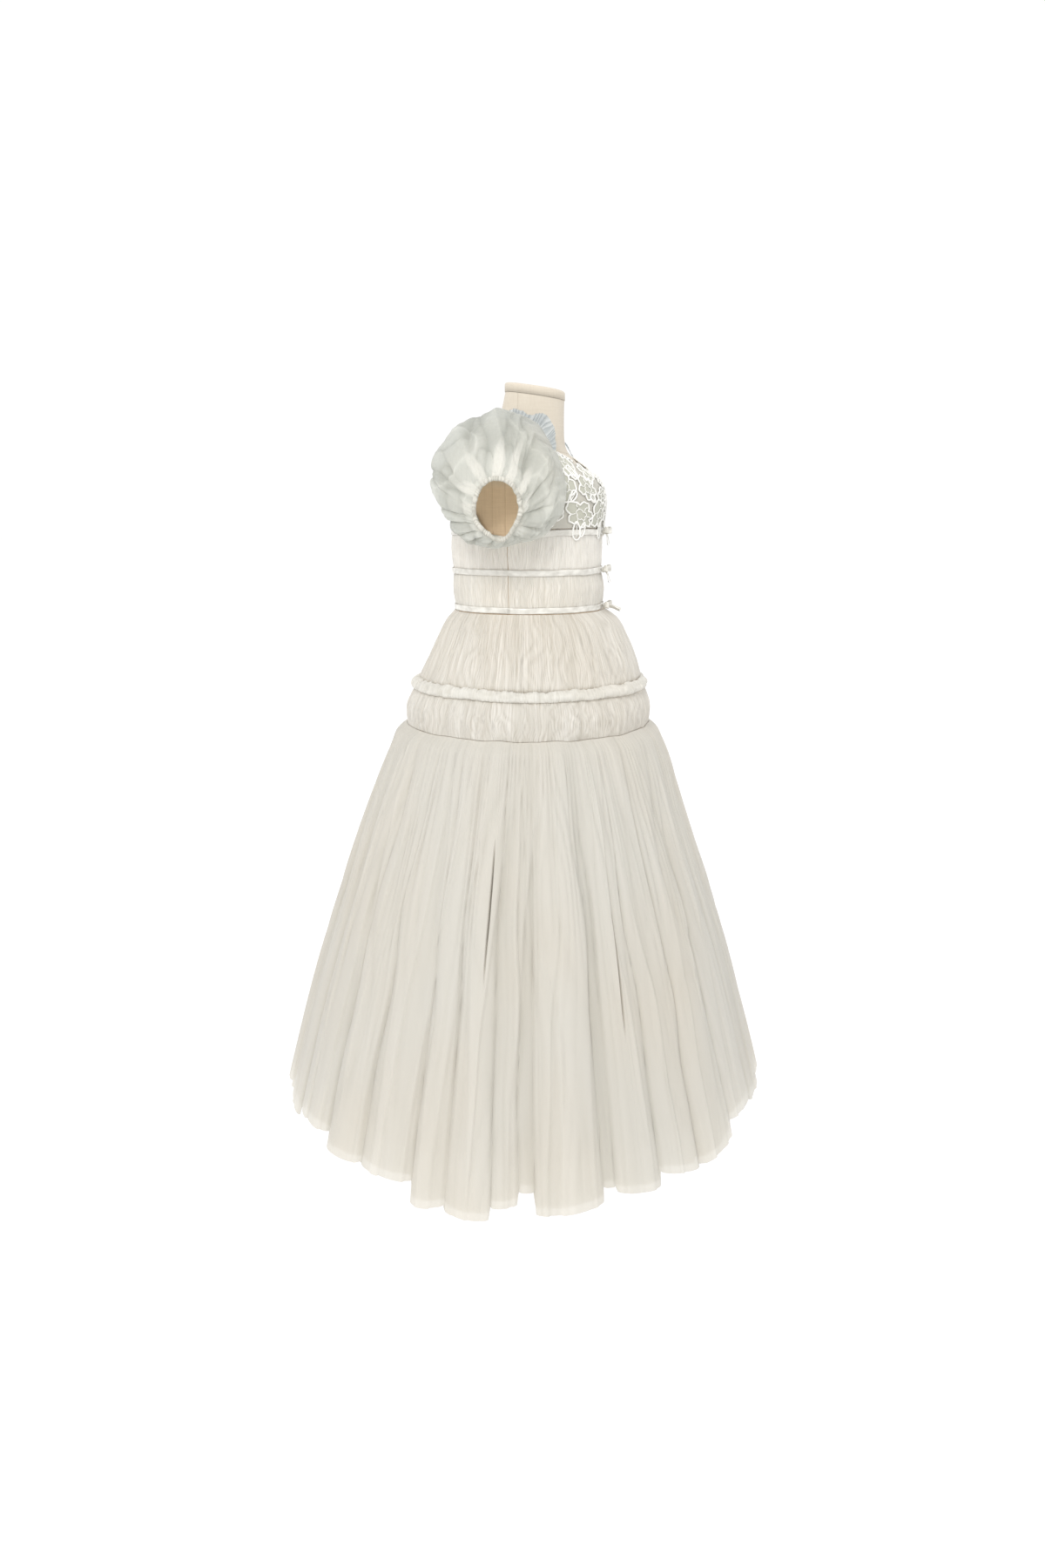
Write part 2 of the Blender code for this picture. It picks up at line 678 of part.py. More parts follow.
def build_hips():
    """Make the upper tier, the ruched roll and the lower tier."""
    build_tier("hip_tier_upper", TIER_UPPER_SECTIONS)
    build_tier("hip_tier_lower", TIER_LOWER_SECTIONS)
    angles = circle_angles(ROLL_STEPS)
    ruche = 1.0 + ROLL_RUCHE_SHARE * np.sin(angles * ROLL_RUCHES)
    rise = ROLL_WAVE * np.sin(angles * ROLL_WAVES)
    turn = circle_angles(ROLL_SIDES) + math.pi / ROLL_SIDES
    height = ROLL_CENTRE + rise[:, None] + (ROLL_HALF_HEIGHT * np.sin(turn))[None, :]
    centre = gown_radius(angles[:, None], height) - ROLL_SINK
    radius = centre + (ROLL_HALF_DEPTH * np.cos(turn))[None, :] * ruche[:, None]
    add_torus("hip_roll", body_point(angles[:, None], height, radius), "tulle")


def skirt_fold_samples():
    """Return the angle, fold relief and hem drop at each step round the skirt."""
    rows = list(SKIRT_FOLDS) + list(reversed(SKIRT_FOLDS))
    widths = column(rows, FOLD_COLUMNS, "width_degrees")
    widths = np.radians(widths * 360.0 / widths.sum())
    starts = -math.pi + np.concatenate([[0.0], np.cumsum(widths)[:-1]])
    phase = np.arange(SKIRT_STEPS_PER_FOLD) / SKIRT_STEPS_PER_FOLD
    angle = (starts[:, None] + widths[:, None] * phase[None, :]).ravel()
    depth = (column(rows, FOLD_COLUMNS, "depth")[:, None] * lobe(phase)[None, :]).ravel()
    drop = (column(rows, FOLD_COLUMNS, "hem_drop")[:, None] * lobe(phase)[None, :]).ravel()
    return angle, depth, drop


def build_skirt():
    """Make the long skirt's folded wall and the plain lining in it."""
    angle, depth, drop = skirt_fold_samples()
    hem = HEM_MEAN_HEIGHT + HEM_SWAY * np.cos(2.0 * angle) - drop
    outer = []
    inner = []
    for height_share, depth_share in SKIRT_ROWS:
        height = hem + height_share * (SKIRT_SEAM - SEAM_GAP - hem)
        radius = gown_radius(angle, height) + (depth - SKIRT_SINK) * depth_share
        outer.append(body_point(angle, height, radius))
        inner.append(body_point(angle, height, radius - CLOTH_WALL))
    add_wall("skirt", np.array(outer), np.array(inner), "tulle")

    plain = circle_angles(BODY_SIDES)
    shares = np.linspace(0.0, 1.0, LINING_ROWS)
    walls = {0.0: [], CLOTH_WALL: []}
    for share in shares:
        level = LINING_TOP - share ** LINING_ROW_SPREAD * (LINING_TOP - LINING_HEM_HEIGHT)
        inset = LINING_INSET_TOP + share * (LINING_INSET_HEM - LINING_INSET_TOP)
        for wall, rings in walls.items():
            rings.append(body_point(plain, level, gown_radius(plain, level) - inset - wall))
    add_wall("skirt_lining", np.array(walls[0.0]), np.array(walls[CLOTH_WALL]), "nude_lining")


def outline_share(turn, name):
    """Return the share of the oval that a sleeve fills at a turn."""
    turns = np.radians(column(SLEEVE_OUTLINE, OUTLINE_COLUMNS, "turn"))
    shares = column(SLEEVE_OUTLINE, OUTLINE_COLUMNS, name)
    return np.interp(turn, turns, shares, period=2.0 * math.pi)


def sleeve_rings(side, first, last, steps, insets, fold_depth):
    """Return rings of a puff sleeve, each in its own slanting plane.

    A ring runs from the top over the front to the bottom and back. Its inset draws it in all
    round, and the folds stand out from it.
    """
    turn = circle_angles(steps)
    phase = turn / (2.0 * math.pi) * SLEEVE_FOLDS
    relief = lobe(phase - np.floor(phase + ROUNDING_SLACK))
    armhole = outline_share(turn, "armhole") - 1.0
    puff = outline_share(turn, "left" if side > 0.0 else "right") - 1.0
    rings = []
    for number, inset in zip(range(first, last), insets):
        section = SLEEVE_SECTIONS[number]
        shape = 1.0 + ARMHOLE_WEIGHTS[number] * armhole + PUFF_WEIGHTS[number] * puff
        top_out, top_height, bottom_out, bottom_height, front, back, fold = section
        middle = np.array([(top_out + bottom_out) / 2.0, (back - front) / 2.0,
                           (top_height + bottom_height) / 2.0])
        up = np.array([top_out, middle[1], top_height]) - middle
        up_reach = np.linalg.norm(up)
        forward_reach = (front + back) / 2.0
        spread = fold_depth * fold * relief - inset
        upward = np.cos(turn) * (up_reach * shape + spread)
        forward = np.sin(turn) * (forward_reach * shape + spread)
        ring = (middle[None, :] + upward[:, None] * (up / up_reach)[None, :]
                - forward[:, None] * np.array([0.0, 1.0, 0.0])[None, :])
        ring[:, 0] *= side
        rings.append(ring)
    return np.array(rings)


def build_sleeve(label, side):
    """Make one puff sleeve, the opaque puff in it, its elastic cuff and its frill."""
    fine = SLEEVE_FOLDS * SLEEVE_STEPS_PER_FOLD
    plain = fine // 2
    count = len(SLEEVE_SECTIONS)
    outer = sleeve_rings(side, 0, count, fine, [0.0] * count, SLEEVE_FOLD_DEPTH)
    inner = sleeve_rings(side, 0, count, plain, [SLEEVE_WALL] * count, SLEEVE_FOLD_DEPTH)
    add_wall(f"sleeve_{label}", outer, inner, "pale_tulle")

    walls = [
        sleeve_rings(side, SLEEVE_LINING_FIRST, count - 1, SLEEVE_LINING_STEPS,
                     np.array(SLEEVE_LINING_INSETS) + wall, 0.0)
        for wall in (0.0, SLEEVE_WALL)
    ]
    add_wall(f"sleeve_lining_{label}", walls[0], walls[1], "cord")

    end = sleeve_rings(side, count - 1, count, CUFF_STEPS, [0.0], 0.0)[0]
    middle = end.mean(axis=0)
    outward = (end - middle) / np.linalg.norm(end - middle, axis=1, keepdims=True)
    turn = circle_angles(CUFF_SIDES)
    ruche = CUFF_RADIUS * (1.0 + CUFF_RUCHE_SHARE * np.cos(np.arange(CUFF_STEPS) * math.pi))
    reach = CUFF_RADIUS * (1.0 + CUFF_RUCHE_SHARE) + SEAM_GAP
    seat = end + np.array([side * reach, 0.0, 0.0])
    cuff = (seat[:, None, :]
            + (ruche[:, None] * np.cos(turn)[None, :])[..., None] * outward[:, None, :])
    cuff[..., 0] += ruche[:, None] * np.sin(turn)[None, :]
    add_torus(f"cuff_{label}", cuff, "tulle")
    build_frill(label, side)


def build_frill(label, side):
    """Make the gathered frill that stands up along the sleeve's edge by the neck."""
    steps = FRILL_WAVES * FRILL_STEPS_PER_WAVE
    turn = np.linspace(FRILL_START, FRILL_END, steps + 1)
    top_out, top_height, bottom_out, bottom_height, front, back, _ = SLEEVE_SECTIONS[0]
    middle = np.array([(top_out + bottom_out) / 2.0, (back - front) / 2.0,
                       (top_height + bottom_height) / 2.0])
    up = np.array([top_out, middle[1], top_height]) - middle
    up_reach = np.linalg.norm(up)
    upright = up / up_reach
    towards_neck = np.array([-upright[2], 0.0, upright[0]])
    forward = np.array([0.0, -1.0, 0.0])
    radial = np.cos(turn)[:, None] * upright + np.sin(turn)[:, None] * forward
    shape = outline_share(turn, "armhole")[:, None]
    root = (middle + np.cos(turn)[:, None] * upright * up_reach * shape
            + np.sin(turn)[:, None] * forward * (front + back) / 2.0 * shape
            + towards_neck * SEAM_GAP)
    taper = np.interp(turn, (FRILL_TAPER_START, FRILL_END), (1.0, FRILL_FRONT_SHARES[label]))[:, None]
    wave = FRILL_WAVE * np.sin(np.linspace(0.0, FRILL_WAVES * 2.0 * math.pi, steps + 1))
    walls = []
    for wall in (0.0, FRILL_WALL):
        rows = []
        for share in FRILL_SHARES:
            reach = FRILL_REACH * share * taper
            row = root + radial * (reach * FRILL_UPRIGHT)
            row = row + towards_neck * (reach * FRILL_LEAN + wall)
            rows.append(row + towards_neck * (wave * share)[:, None])
        walls.append(np.array(rows))
    for rows in walls:
        rows[..., 0] *= side
    add_wall(f"frill_{label}", walls[0], walls[1], "pale_tulle", closed=False)


def build_lace():
    """Make the raised lace motifs that lie on the bodice's front."""
    stand_off = BODICE_CLEARANCE + BODICE_WALL + MOTIF_LIFT
    turn = circle_angles(MOTIF_STEPS)
    for number, (angle, height, across, up, lobes, tip) in enumerate(LACE_MOTIFS, start=1):
        tilt = math.radians(tip)
        outline = 1.0 + MOTIF_LOBE_DEPTH * np.cos(turn * lobes)
        rings = []
        for share, wall in MOTIF_RINGS:
            along = across * outline * share * np.cos(turn)
            rise = up * outline * share * np.sin(turn)
            sideways = along * math.cos(tilt) - rise * math.sin(tilt)
            upward = along * math.sin(tilt) + rise * math.cos(tilt)
            level = height + upward
            reach = form_radius(math.radians(angle), level)
            place = math.radians(angle) + sideways / reach
            rings.append(body_point(place, level, form_radius(place, level) + stand_off + wall))
        add_solid(f"lace_motif_{number:02d}", np.array(rings), "cord")


def main():
    """Build every piece of the gown and the form under it."""
    clear_scene()
    build_form()
    build_stand()
    build_bodice()
    build_bands()
    build_ribbons()
    build_hips()
    build_skirt()
    build_sleeve("left", 1.0)
    build_sleeve("right", -1.0)
    build_lace()


main()
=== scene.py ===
"""Looks of the tulle gown on its dress form.

Every cloth piece is a thin shell on the form of its solid: a function of an angle round the body or
the arm and of a height, with its gathers and folds added along the surface's own normal. Units are
metres, +Z is up, the front faces -Y and the wearer's left is +X. An angle round the body runs from
the front towards the wearer's left, so the right side is at -90 degrees.
"""

from __future__ import annotations

import logging
import math
from dataclasses import dataclass
from enum import Enum
from typing import Any, Mapping, Sequence, Union

import bpy
import numpy as np
from mathutils import Matrix, Vector

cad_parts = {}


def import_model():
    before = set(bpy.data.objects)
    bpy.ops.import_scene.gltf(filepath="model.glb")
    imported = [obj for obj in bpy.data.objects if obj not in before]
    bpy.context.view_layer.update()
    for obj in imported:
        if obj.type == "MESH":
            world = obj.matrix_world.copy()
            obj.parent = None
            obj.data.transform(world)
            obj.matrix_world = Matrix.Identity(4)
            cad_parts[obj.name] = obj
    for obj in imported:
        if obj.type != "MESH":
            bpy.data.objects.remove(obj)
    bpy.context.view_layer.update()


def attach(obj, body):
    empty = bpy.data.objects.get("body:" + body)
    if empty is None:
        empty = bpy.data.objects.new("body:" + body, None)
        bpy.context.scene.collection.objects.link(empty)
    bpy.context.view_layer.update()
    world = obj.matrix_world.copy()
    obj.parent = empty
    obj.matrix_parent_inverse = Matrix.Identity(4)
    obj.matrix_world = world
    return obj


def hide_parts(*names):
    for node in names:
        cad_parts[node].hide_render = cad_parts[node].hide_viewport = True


LOG = logging.getLogger("gown")
Array = np.ndarray
Colour = tuple[float, float, float]
TURN = 2.0 * math.pi
BODY = "root"


class Socket:
    """One output of a shader node, whose sums and products add Math nodes."""

    def __init__(self, bench: "Bench", socket: Any) -> None:
        """Keep the node tree and the output that this value stands for."""
        self.bench = bench
        self.socket = socket

    def _math(self, operation: str, first: "Feed", second: "Feed") -> "Socket":
        """Add one Math node and return its result."""
        return self.bench.node("ShaderNodeMath", {"operation": operation}, {0: first, 1: second})

    def __add__(self, other: "Feed") -> "Socket":
        """Return this value plus another."""
        return self._math("ADD", self, other)

    __radd__ = __add__

    def __sub__(self, other: "Feed") -> "Socket":
        """Return this value minus another."""
        return self._math("SUBTRACT", self, other)

    def __rsub__(self, other: "Feed") -> "Socket":
        """Return another value minus this one."""
        return self._math("SUBTRACT", other, self)

    def __mul__(self, other: "Feed") -> "Socket":
        """Return this value times another."""
        return self._math("MULTIPLY", self, other)

    __rmul__ = __mul__

    def __pow__(self, other: "Feed") -> "Socket":
        """Return this value raised to a power."""
        return self._math("POWER", self, other)

    def clamped(self, low: float = 0.0, high: float = 1.0) -> "Socket":
        """Return this value held between two limits."""
        return self._math("MINIMUM", self._math("MAXIMUM", self, low), high)


Feed = Union[Socket, float, Sequence[float]]


class Bench:
    """A material's node tree and the few ways of adding to it."""

    def __init__(self, name: str) -> None:
        """Make an empty material with its output node."""
        self.material = bpy.data.materials.new(name)
        self.material.use_nodes = True
        self.tree = self.material.node_tree
        self.tree.nodes.clear()
        self.output = self.tree.nodes.new("ShaderNodeOutputMaterial")

    def node(
        self,
        kind: str,
        settings: Mapping[str, Any] | None = None,
        inputs: Mapping[int | str, Feed] | None = None,
        result: int | str = 0,
    ) -> Socket:
        """Add a node.

        Args:
            kind: the node's type.
            settings: its own settings, which are set first.
            inputs: a value or a link for each named or numbered input.
            result: the output that is returned.

        Returns:
            The chosen output.
        """
        made = self.tree.nodes.new(kind)
        for key, value in (settings or {}).items():
            setattr(made, key, value)
        for key, value in (inputs or {}).items():
            if isinstance(value, Socket):
                self.tree.links.new(value.socket, made.inputs[key])
            else:
                made.inputs[key].default_value = value
        return Socket(self, made.outputs[result])

    def attribute(self, name: str, result: str = "Fac") -> Socket:
        """Return a value or vector that the mesh keeps at its points."""
        return self.node("ShaderNodeAttribute", {"attribute_name": name}, {}, result)

    def scaled(self, vector: Socket, by: Sequence[float]) -> Socket:
        """Return a vector times another, side by side."""
        return self.node("ShaderNodeVectorMath", {"operation": "MULTIPLY"}, {0: vector, 1: by})

    def noise(self, vector: Socket, scale: float, detail: float = 2.0) -> Socket:
        """Return smooth noise from 0 to 1 at a place."""
        return self.node(
            "ShaderNodeTexNoise", {}, {"Vector": vector, "Scale": scale, "Detail": detail}
        )

    def blend(self, first: Feed, second: Feed, share: Feed) -> Socket:
        """Return a colour between two others."""
        return self.node(
            "ShaderNodeMix", {"data_type": "RGBA"}, {0: share, 6: first, 7: second}, 2
        )

    def tinted(self, colour: Socket, tint: Colour) -> Socket:
        """Return a colour multiplied by a tint."""
        return self.node(
            "ShaderNodeMix",
            {"data_type": "RGBA", "blend_type": "MULTIPLY"},
            {0: 1.0, 6: colour, 7: rgba(tint)},
            2,
        )

    def bump(self, height: Socket, strength: float, distance: float) -> Socket:
        """Return normals bent by a height."""
        return self.node(
            "ShaderNodeBump", {}, {"Strength": strength, "Distance": distance, "Height": height}
        )

    def finish(self, shader: Socket) -> bpy.types.Material:
        """Join a shader to the output and return the material."""
        self.tree.links.new(shader.socket, self.output.inputs["Surface"])
        return self.material


def rgba(colour: Colour) -> tuple[float, float, float, float]:
    """Return a colour with full opacity."""
    return (*colour, 1.0)


@dataclass(frozen=True)
class TulleFinish:
    """Sheer gathered net: streaks along its threads, painted shade in the valleys, painted highlight on the
    ridges, and partly see-through.
    """

    name: str
    # The relief attribute blends from the valley colour, painted shade in valleys and creases, to the ridge
    # colour, the cloth's own colour that also serves as painted highlight.
    ridge: Colour
    valley: Colour
    opacity: float
    streaks: float = 420.0
    along: float = 9.0
    bump: float = 0.35
    bump_depth: float = 0.0006
    through: float = 0.25
    roughness: float = 0.85
    fine_share: float = 0.55
    warm: Colour = (1.0, 0.975, 0.945)
    # Colour where only one layer covers the cream puff: the puff seen through, partly painted light.
    bare_painted_light: Colour = (0.93, 0.92, 0.87)

    def build(self) -> bpy.types.Material:
        """Return the material."""
        bench = Bench(self.name)
        thread = bench.attribute("thread", "Vector")
        relief = bench.attribute("relief")
        cover = bench.attribute("cover")
        place = bench.node("ShaderNodeTexCoord", {}, {}, "Object")
        fine = bench.noise(bench.scaled(thread, (self.streaks, self.streaks, self.along)), 1.0, 3.0)
        wide = bench.noise(bench.scaled(thread, (60.0, 60.0, 5.0)), 1.0, 2.0)
        patch = bench.noise(bench.scaled(place, (7.0, 7.0, 3.0)), 1.0, 2.0)
        # Painted shade and highlight: low relief darkens towards the valley colour, high relief lightens to
        # the ridge colour.
        share = (
            relief * 0.80 + fine * self.fine_share + wide * 0.25 - 0.12 - self.fine_share * 0.4
        ).clamped()
        plain = bench.blend(rgba(self.valley), rgba(self.ridge), share)
        warmth = ((patch - 0.42) * 3.0).clamped()
        toned = bench.blend(plain, bench.tinted(plain, self.warm), warmth)
        # Where the cover is low the colour turns to the bare colour, partly the cream puff seen through and
        # partly painted light.
        colour = bench.blend(rgba(self.bare_painted_light), toned, cover)
        clear = (1.0 - self.opacity) * 1.6
        alpha = 1.0 - clear * (fine * 0.7 + wide * 0.5) + (1.0 - relief) * clear * 0.3
        alpha = (alpha * (cover * 0.35 + 0.65)).clamped()
        normal = bench.bump(fine, self.bump, self.bump_depth)
        cloth = bench.node("ShaderNodeBsdfPrincipled", {}, {
            "Base Color": colour,
            "Roughness": self.roughness,
            "Alpha": alpha,
            "Normal": normal,
            "Specular IOR Level": 0.2,
            "Sheen Weight": 0.25,
            "Sheen Roughness": 0.5,
        })
        lit = bench.node("ShaderNodeBsdfTranslucent", {}, {"Color": rgba(self.ridge), "Normal": normal})
        clear_part = bench.node("ShaderNodeBsdfTransparent", {}, {})
        lit = bench.node("ShaderNodeMixShader", {}, {0: alpha, 1: clear_part, 2: lit})
        mixed = bench.node("ShaderNodeMixShader", {}, {0: self.through, 1: cloth, 2: lit})
        return bench.finish(mixed)


@dataclass(frozen=True)
class ClothFinish:
    """Closely woven plain cloth with a fine weave and soft patches."""

    name: str
    colour: Colour
    shade: Colour
    weave: float = 900.0
    roughness: float = 0.8
    bump: float = 0.25
    sheen: float = 0.1
    through: float = 0.0

    def build(self) -> bpy.types.Material:
        """Return the material."""
        bench = Bench(self.name)
        place = bench.node("ShaderNodeTexCoord", {}, {}, "Object")
        warp = bench.noise(bench.scaled(place, (self.weave, self.weave, self.weave * 0.12)), 1.0)
        weft = bench.noise(
            bench.scaled(place, (self.weave * 0.12, self.weave * 0.12, self.weave)), 1.0
        )
        patch = bench.noise(place, 35.0, 3.0)
        threads = warp * 0.5 + weft * 0.5
        share = (threads * 1.3 + patch * 0.5 - 0.4).clamped()
        colour = bench.blend(rgba(self.shade), rgba(self.colour), share)
        shader = bench.node("ShaderNodeBsdfPrincipled", {}, {
            "Base Color": colour,
            "Roughness": self.roughness,
            "Normal": bench.bump(threads, self.bump, 0.0004),
            "Specular IOR Level": 0.25,
            "Sheen Weight": self.sheen,
        })
        lit = bench.node("ShaderNodeBsdfTranslucent", {}, {"Color": rgba(self.colour)})
        return bench.finish(bench.node("ShaderNodeMixShader", {}, {0: self.through, 1: shader, 2: lit}))


@dataclass(frozen=True)
class Seam:
    """One flat seam of the form, as a plane: its normal, its offset and the heights it runs between."""

    normal: tuple[float, float, float]
    offset: float
    low: float
    high: float


@dataclass(frozen=True)
class LinenFinish:
    """Natural linen over the form, slubbed both ways, with sunken seams. Below a height its colour is lifted
    to a warmer, lighter tan: painted light for the light that reaches the form under the sleeves.
    """

    name: str
    colour: Colour
    shade: Colour
    # Below a height the linen is painted warmer and lighter: painted light under the sleeves.
    painted_light_low_colour: Colour
    painted_light_low_shade: Colour
    seams: Sequence[Seam] = ()
    painted_light_height: float = 0.850
    weave: float = 620.0
    seam_width: float = 0.0009
    seam_shade: float = 0.45

    def groove(self, bench: Bench, place: Socket) -> Socket:
        """Return how deep a place lies in a seam, from 0 to 1."""
        height = bench.node("ShaderNodeSeparateXYZ", {}, {0: place}, "Z")
        total = bench.node("ShaderNodeMath", {"operation": "ADD"}, {0: 0.0, 1: 0.0})
        for seam in self.seams:
            along = bench.node(
                "ShaderNodeVectorMath", {"operation": "DOT_PRODUCT"}, {0: place, 1: seam.normal}, "Value"
            )
            away = bench.node("ShaderNodeMath", {"operation": "ABSOLUTE"}, {0: along - seam.offset})
            line = (1.0 - away * (1.0 / self.seam_width)).clamped()
            above = ((height - seam.low) * 400.0).clamped()
            below = ((seam.high - height) * 400.0).clamped()
            total = total + line * above * below
        return total.clamped()

    def build(self) -> bpy.types.Material:
        """Return the material."""
        bench = Bench(self.name)
        place = bench.node("ShaderNodeTexCoord", {}, {}, "Object")
        warp = bench.noise(bench.scaled(place, (self.weave, self.weave, self.weave * 0.05)), 1.0)
        weft = bench.noise(
            bench.scaled(place, (self.weave * 0.08, self.weave * 0.08, self.weave)), 1.0
        )
        slub = bench.noise(bench.scaled(place, (60.0, 60.0, 700.0)), 1.0, 3.0)
        patch = bench.noise(place, 24.0, 3.0)
        groove = self.groove(bench, place)
        threads = warp * 0.45 + weft * 0.45 + slub * 0.3
        share = (threads * 1.1 + patch * 0.4 - 0.35 - groove * self.seam_shade).clamped()
        # Painted light: below its height the colour blends to the warmer, lighter low colours.
        height = bench.node("ShaderNodeSeparateXYZ", {}, {0: place}, "Z")
        above = ((height - self.painted_light_height) * 40.0 + 0.5).clamped()
        high = bench.blend(rgba(self.shade), rgba(self.colour), share)
        low = bench.blend(rgba(self.painted_light_low_shade), rgba(self.painted_light_low_colour), share)
        shader = bench.node("ShaderNodeBsdfPrincipled", {}, {
            "Base Color": bench.blend(low, high, above),
            "Roughness": 0.85,
            "Normal": bench.bump(threads - groove * 2.5, 0.35, 0.0005),
            "Specular IOR Level": 0.2,
            "Sheen Weight": 0.15,
        })
        return bench.finish(shader)


@dataclass(frozen=True)
class SatinFinish:
    """Satin ribbon with a soft gloss and faint lengthwise ribs."""

    name: str
    colour: Colour
    shade: Colour

    def build(self) -> bpy.types.Material:
        """Return the material."""
        bench = Bench(self.name)
        thread = bench.attribute("thread", "Vector")
        ribs = bench.noise(bench.scaled(thread, (40.0, 40.0, 2600.0)), 1.0)
        folds = bench.noise(bench.scaled(thread, (90.0, 90.0, 160.0)), 1.0)
        # The darker shade colour follows the fold noise: painted shade in the ribbon's soft folds.
        colour = bench.blend(rgba(self.shade), rgba(self.colour), (folds * 1.5 - 0.25).clamped())
        shader = bench.node("ShaderNodeBsdfPrincipled", {}, {
            "Base Color": colour,
            "Roughness": 0.26 + ribs * 0.14,
            "Normal": bench.bump(ribs * 0.4 + folds, 0.3, 0.0006),
            "Specular IOR Level": 0.6,
            "Sheen Weight": 0.15,
        })
        return bench.finish(shader)


@dataclass(frozen=True)
class CordFinish:
    """Thick embroidery cord with a fine twist."""

    name: str
    colour: Colour
    shade: Colour

    def build(self) -> bpy.types.Material:
        """Return the material."""
        bench = Bench(self.name)
        place = bench.node("ShaderNodeTexCoord", {}, {}, "Object")
        twist = bench.noise(place, 1400.0, 1.0)
        colour = bench.blend(rgba(self.shade), rgba(self.colour), (twist * 1.6 - 0.2).clamped())
        shader = bench.node("ShaderNodeBsdfPrincipled", {}, {
            "Base Color": colour,
            "Roughness": 0.55,
            "Normal": bench.bump(twist, 0.4, 0.0003),
            "Specular IOR Level": 0.35,
            "Sheen Weight": 0.2,
        })
        return bench.finish(shader)


@dataclass(frozen=True)
class SteelFinish:
    """Satin brushed steel with faint turning marks."""

    name: str
    colour: Colour

    def build(self) -> bpy.types.Material:
        """Return the material."""
        bench = Bench(self.name)
        thread = bench.attribute("thread", "Vector")
        marks = bench.noise(bench.scaled(thread, (12.0, 12.0, 1500.0)), 1.0)
        shade = bench.blend(
            rgba(tuple(part * 0.8 for part in self.colour)), rgba(self.colour), marks
        )
        shader = bench.node("ShaderNodeBsdfPrincipled", {}, {
            "Base Color": shade,
            "Metallic": 1.0,
            "Roughness": 0.28 + marks * 0.15,
            "Normal": bench.bump(marks, 0.1, 0.0002),
        })
        return bench.finish(shader)


def wrapped(angle: Array) -> Array:
    """Return an angle brought to within half a turn of zero."""
    return np.mod(angle + math.pi, TURN) - math.pi


def read_rows(place: Array, rows: Sequence[tuple[float, float]]) -> Array:
    """Read a table of places and values by straight lines between its rows."""
    places, values = np.array(rows).T
    return np.interp(place, places, values)


def smooth_curve(place: Array, places: Array, values: Array) -> Array:
    """Read a table by a smooth curve that never overshoots its rows.

    The slope at a row is the harmonic mean of the slopes beside it, or level at a peak, and the
    curve between two rows is the cubic with those end slopes.
    """
    steps = np.diff(places)
    slopes = np.diff(values) / steps
    product = slopes[:-1] * slopes[1:]
    safe = np.where(product > 0.0, slopes[:-1] + slopes[1:], 1.0)
    middle = np.where(product > 0.0, 2.0 * product / safe, 0.0)
    ends = np.concatenate([slopes[:1], middle, slopes[-1:]])
    row = np.clip(np.searchsorted(places, place, side="right") - 1, 0, len(places) - 2)
    share = np.clip((place - places[row]) / steps[row], 0.0, 1.0)
    square = share * share
    cube = square * share
    return (
        (2.0 * cube - 3.0 * square + 1.0) * values[row]
        + (cube - 2.0 * square + share) * steps[row] * ends[row]
        + (3.0 * square - 2.0 * cube) * values[row + 1]
        + (cube - square) * steps[row] * ends[row + 1]
    )


def ring_noise(angle: Array, share: Array, around: int, up: int, seed: int) -> Array:
    """Return smooth noise from -1 to 1 that closes round a ring.

    Random values stand at a lattice of points, and the value between them follows a smooth step
    both ways.

    Args:
        angle: the angle round the ring.
        share: the share of the way up, from 0 to 1.
        around: cells round the ring.
        up: cells from bottom to top.
        seed: the draw of the lattice.

    Returns:
        The noise at each place.
    """
    lattice = np.random.default_rng(seed).uniform(-1.0, 1.0, (up + 2, around))
    across = np.mod(angle / TURN, 1.0) * around
    rise = np.clip(share, 0.0, 1.0) * up
    column = np.floor(across).astype(int)
    row = np.floor(rise).astype(int)
    u = across - column
    v = rise - row
    u = u * u * (3.0 - 2.0 * u)
    v = v * v * (3.0 - 2.0 * v)
    left = column % around
    right = (column + 1) % around
    low = lattice[row, left] * (1.0 - u) + lattice[row, right] * u
    high = lattice[row + 1, left] * (1.0 - u) + lattice[row + 1, right] * u
    return low * (1.0 - v) + high * v


def gathers(angle: Array, share: Array, count: int, wander: float, seed: int) -> Array:
    """Return uneven gathers from 0 in a valley to about 1 on a ridge.

    Each gather is a half wave with a sharp valley. Noise shifts the wave, so that the gathers
    differ in width and wander on their way up, and a second noise makes some flatter.
    """
    shift = wander * ring_noise(angle, share, max(3, count // 2), 3, seed)
    wave = np.abs(np.sin(math.pi * (angle / TURN * count + shift))) ** 0.65
    return wave * (0.66 + 0.34 * ring_noise(angle, share, count, 2, seed + 1))


def wrinkles(angle: Array, share: Array, around: int, up: int, width: float, seed: int) -> Array:
    """Return wandering creases: 1 along the lines where smooth noise passes zero, and 0 away from them."""
    return np.exp(-np.abs(ring_noise(angle, share, around, up, seed)) / width)


def overlaps(angle: Array, share: Array, count: int, wander: float, edge: float, seed: int) -> Array:
    """Return folds that lie over one another.

    Each rises slowly from 0 to about 1 and then drops within a narrow edge.

    Args:
        angle: the angle round, as a row.
        share: the place along the folds, as a column.
        count: the number of folds round a full turn.
        wander: how far the folds stray, in fold widths.
        edge: the edge's share of a fold's width.
        seed: the number that the fold's unevenness starts from.

    Returns:
        The height of the folds, with one value a place.
    """
    stray = ring_noise(angle, 0.35 * share, max(count // 3, 3), 2, seed)
    phase = np.mod(count * angle / TURN + wander * stray, 1.0)
    drop = np.clip((1.0 - phase) / edge, 0.0, 1.0)
    strength = 0.70 + 0.30 * ring_noise(angle, share, count, 1, seed + 1)
    return strength * phase ** 1.2 * drop * drop * (3.0 - 2.0 * drop)


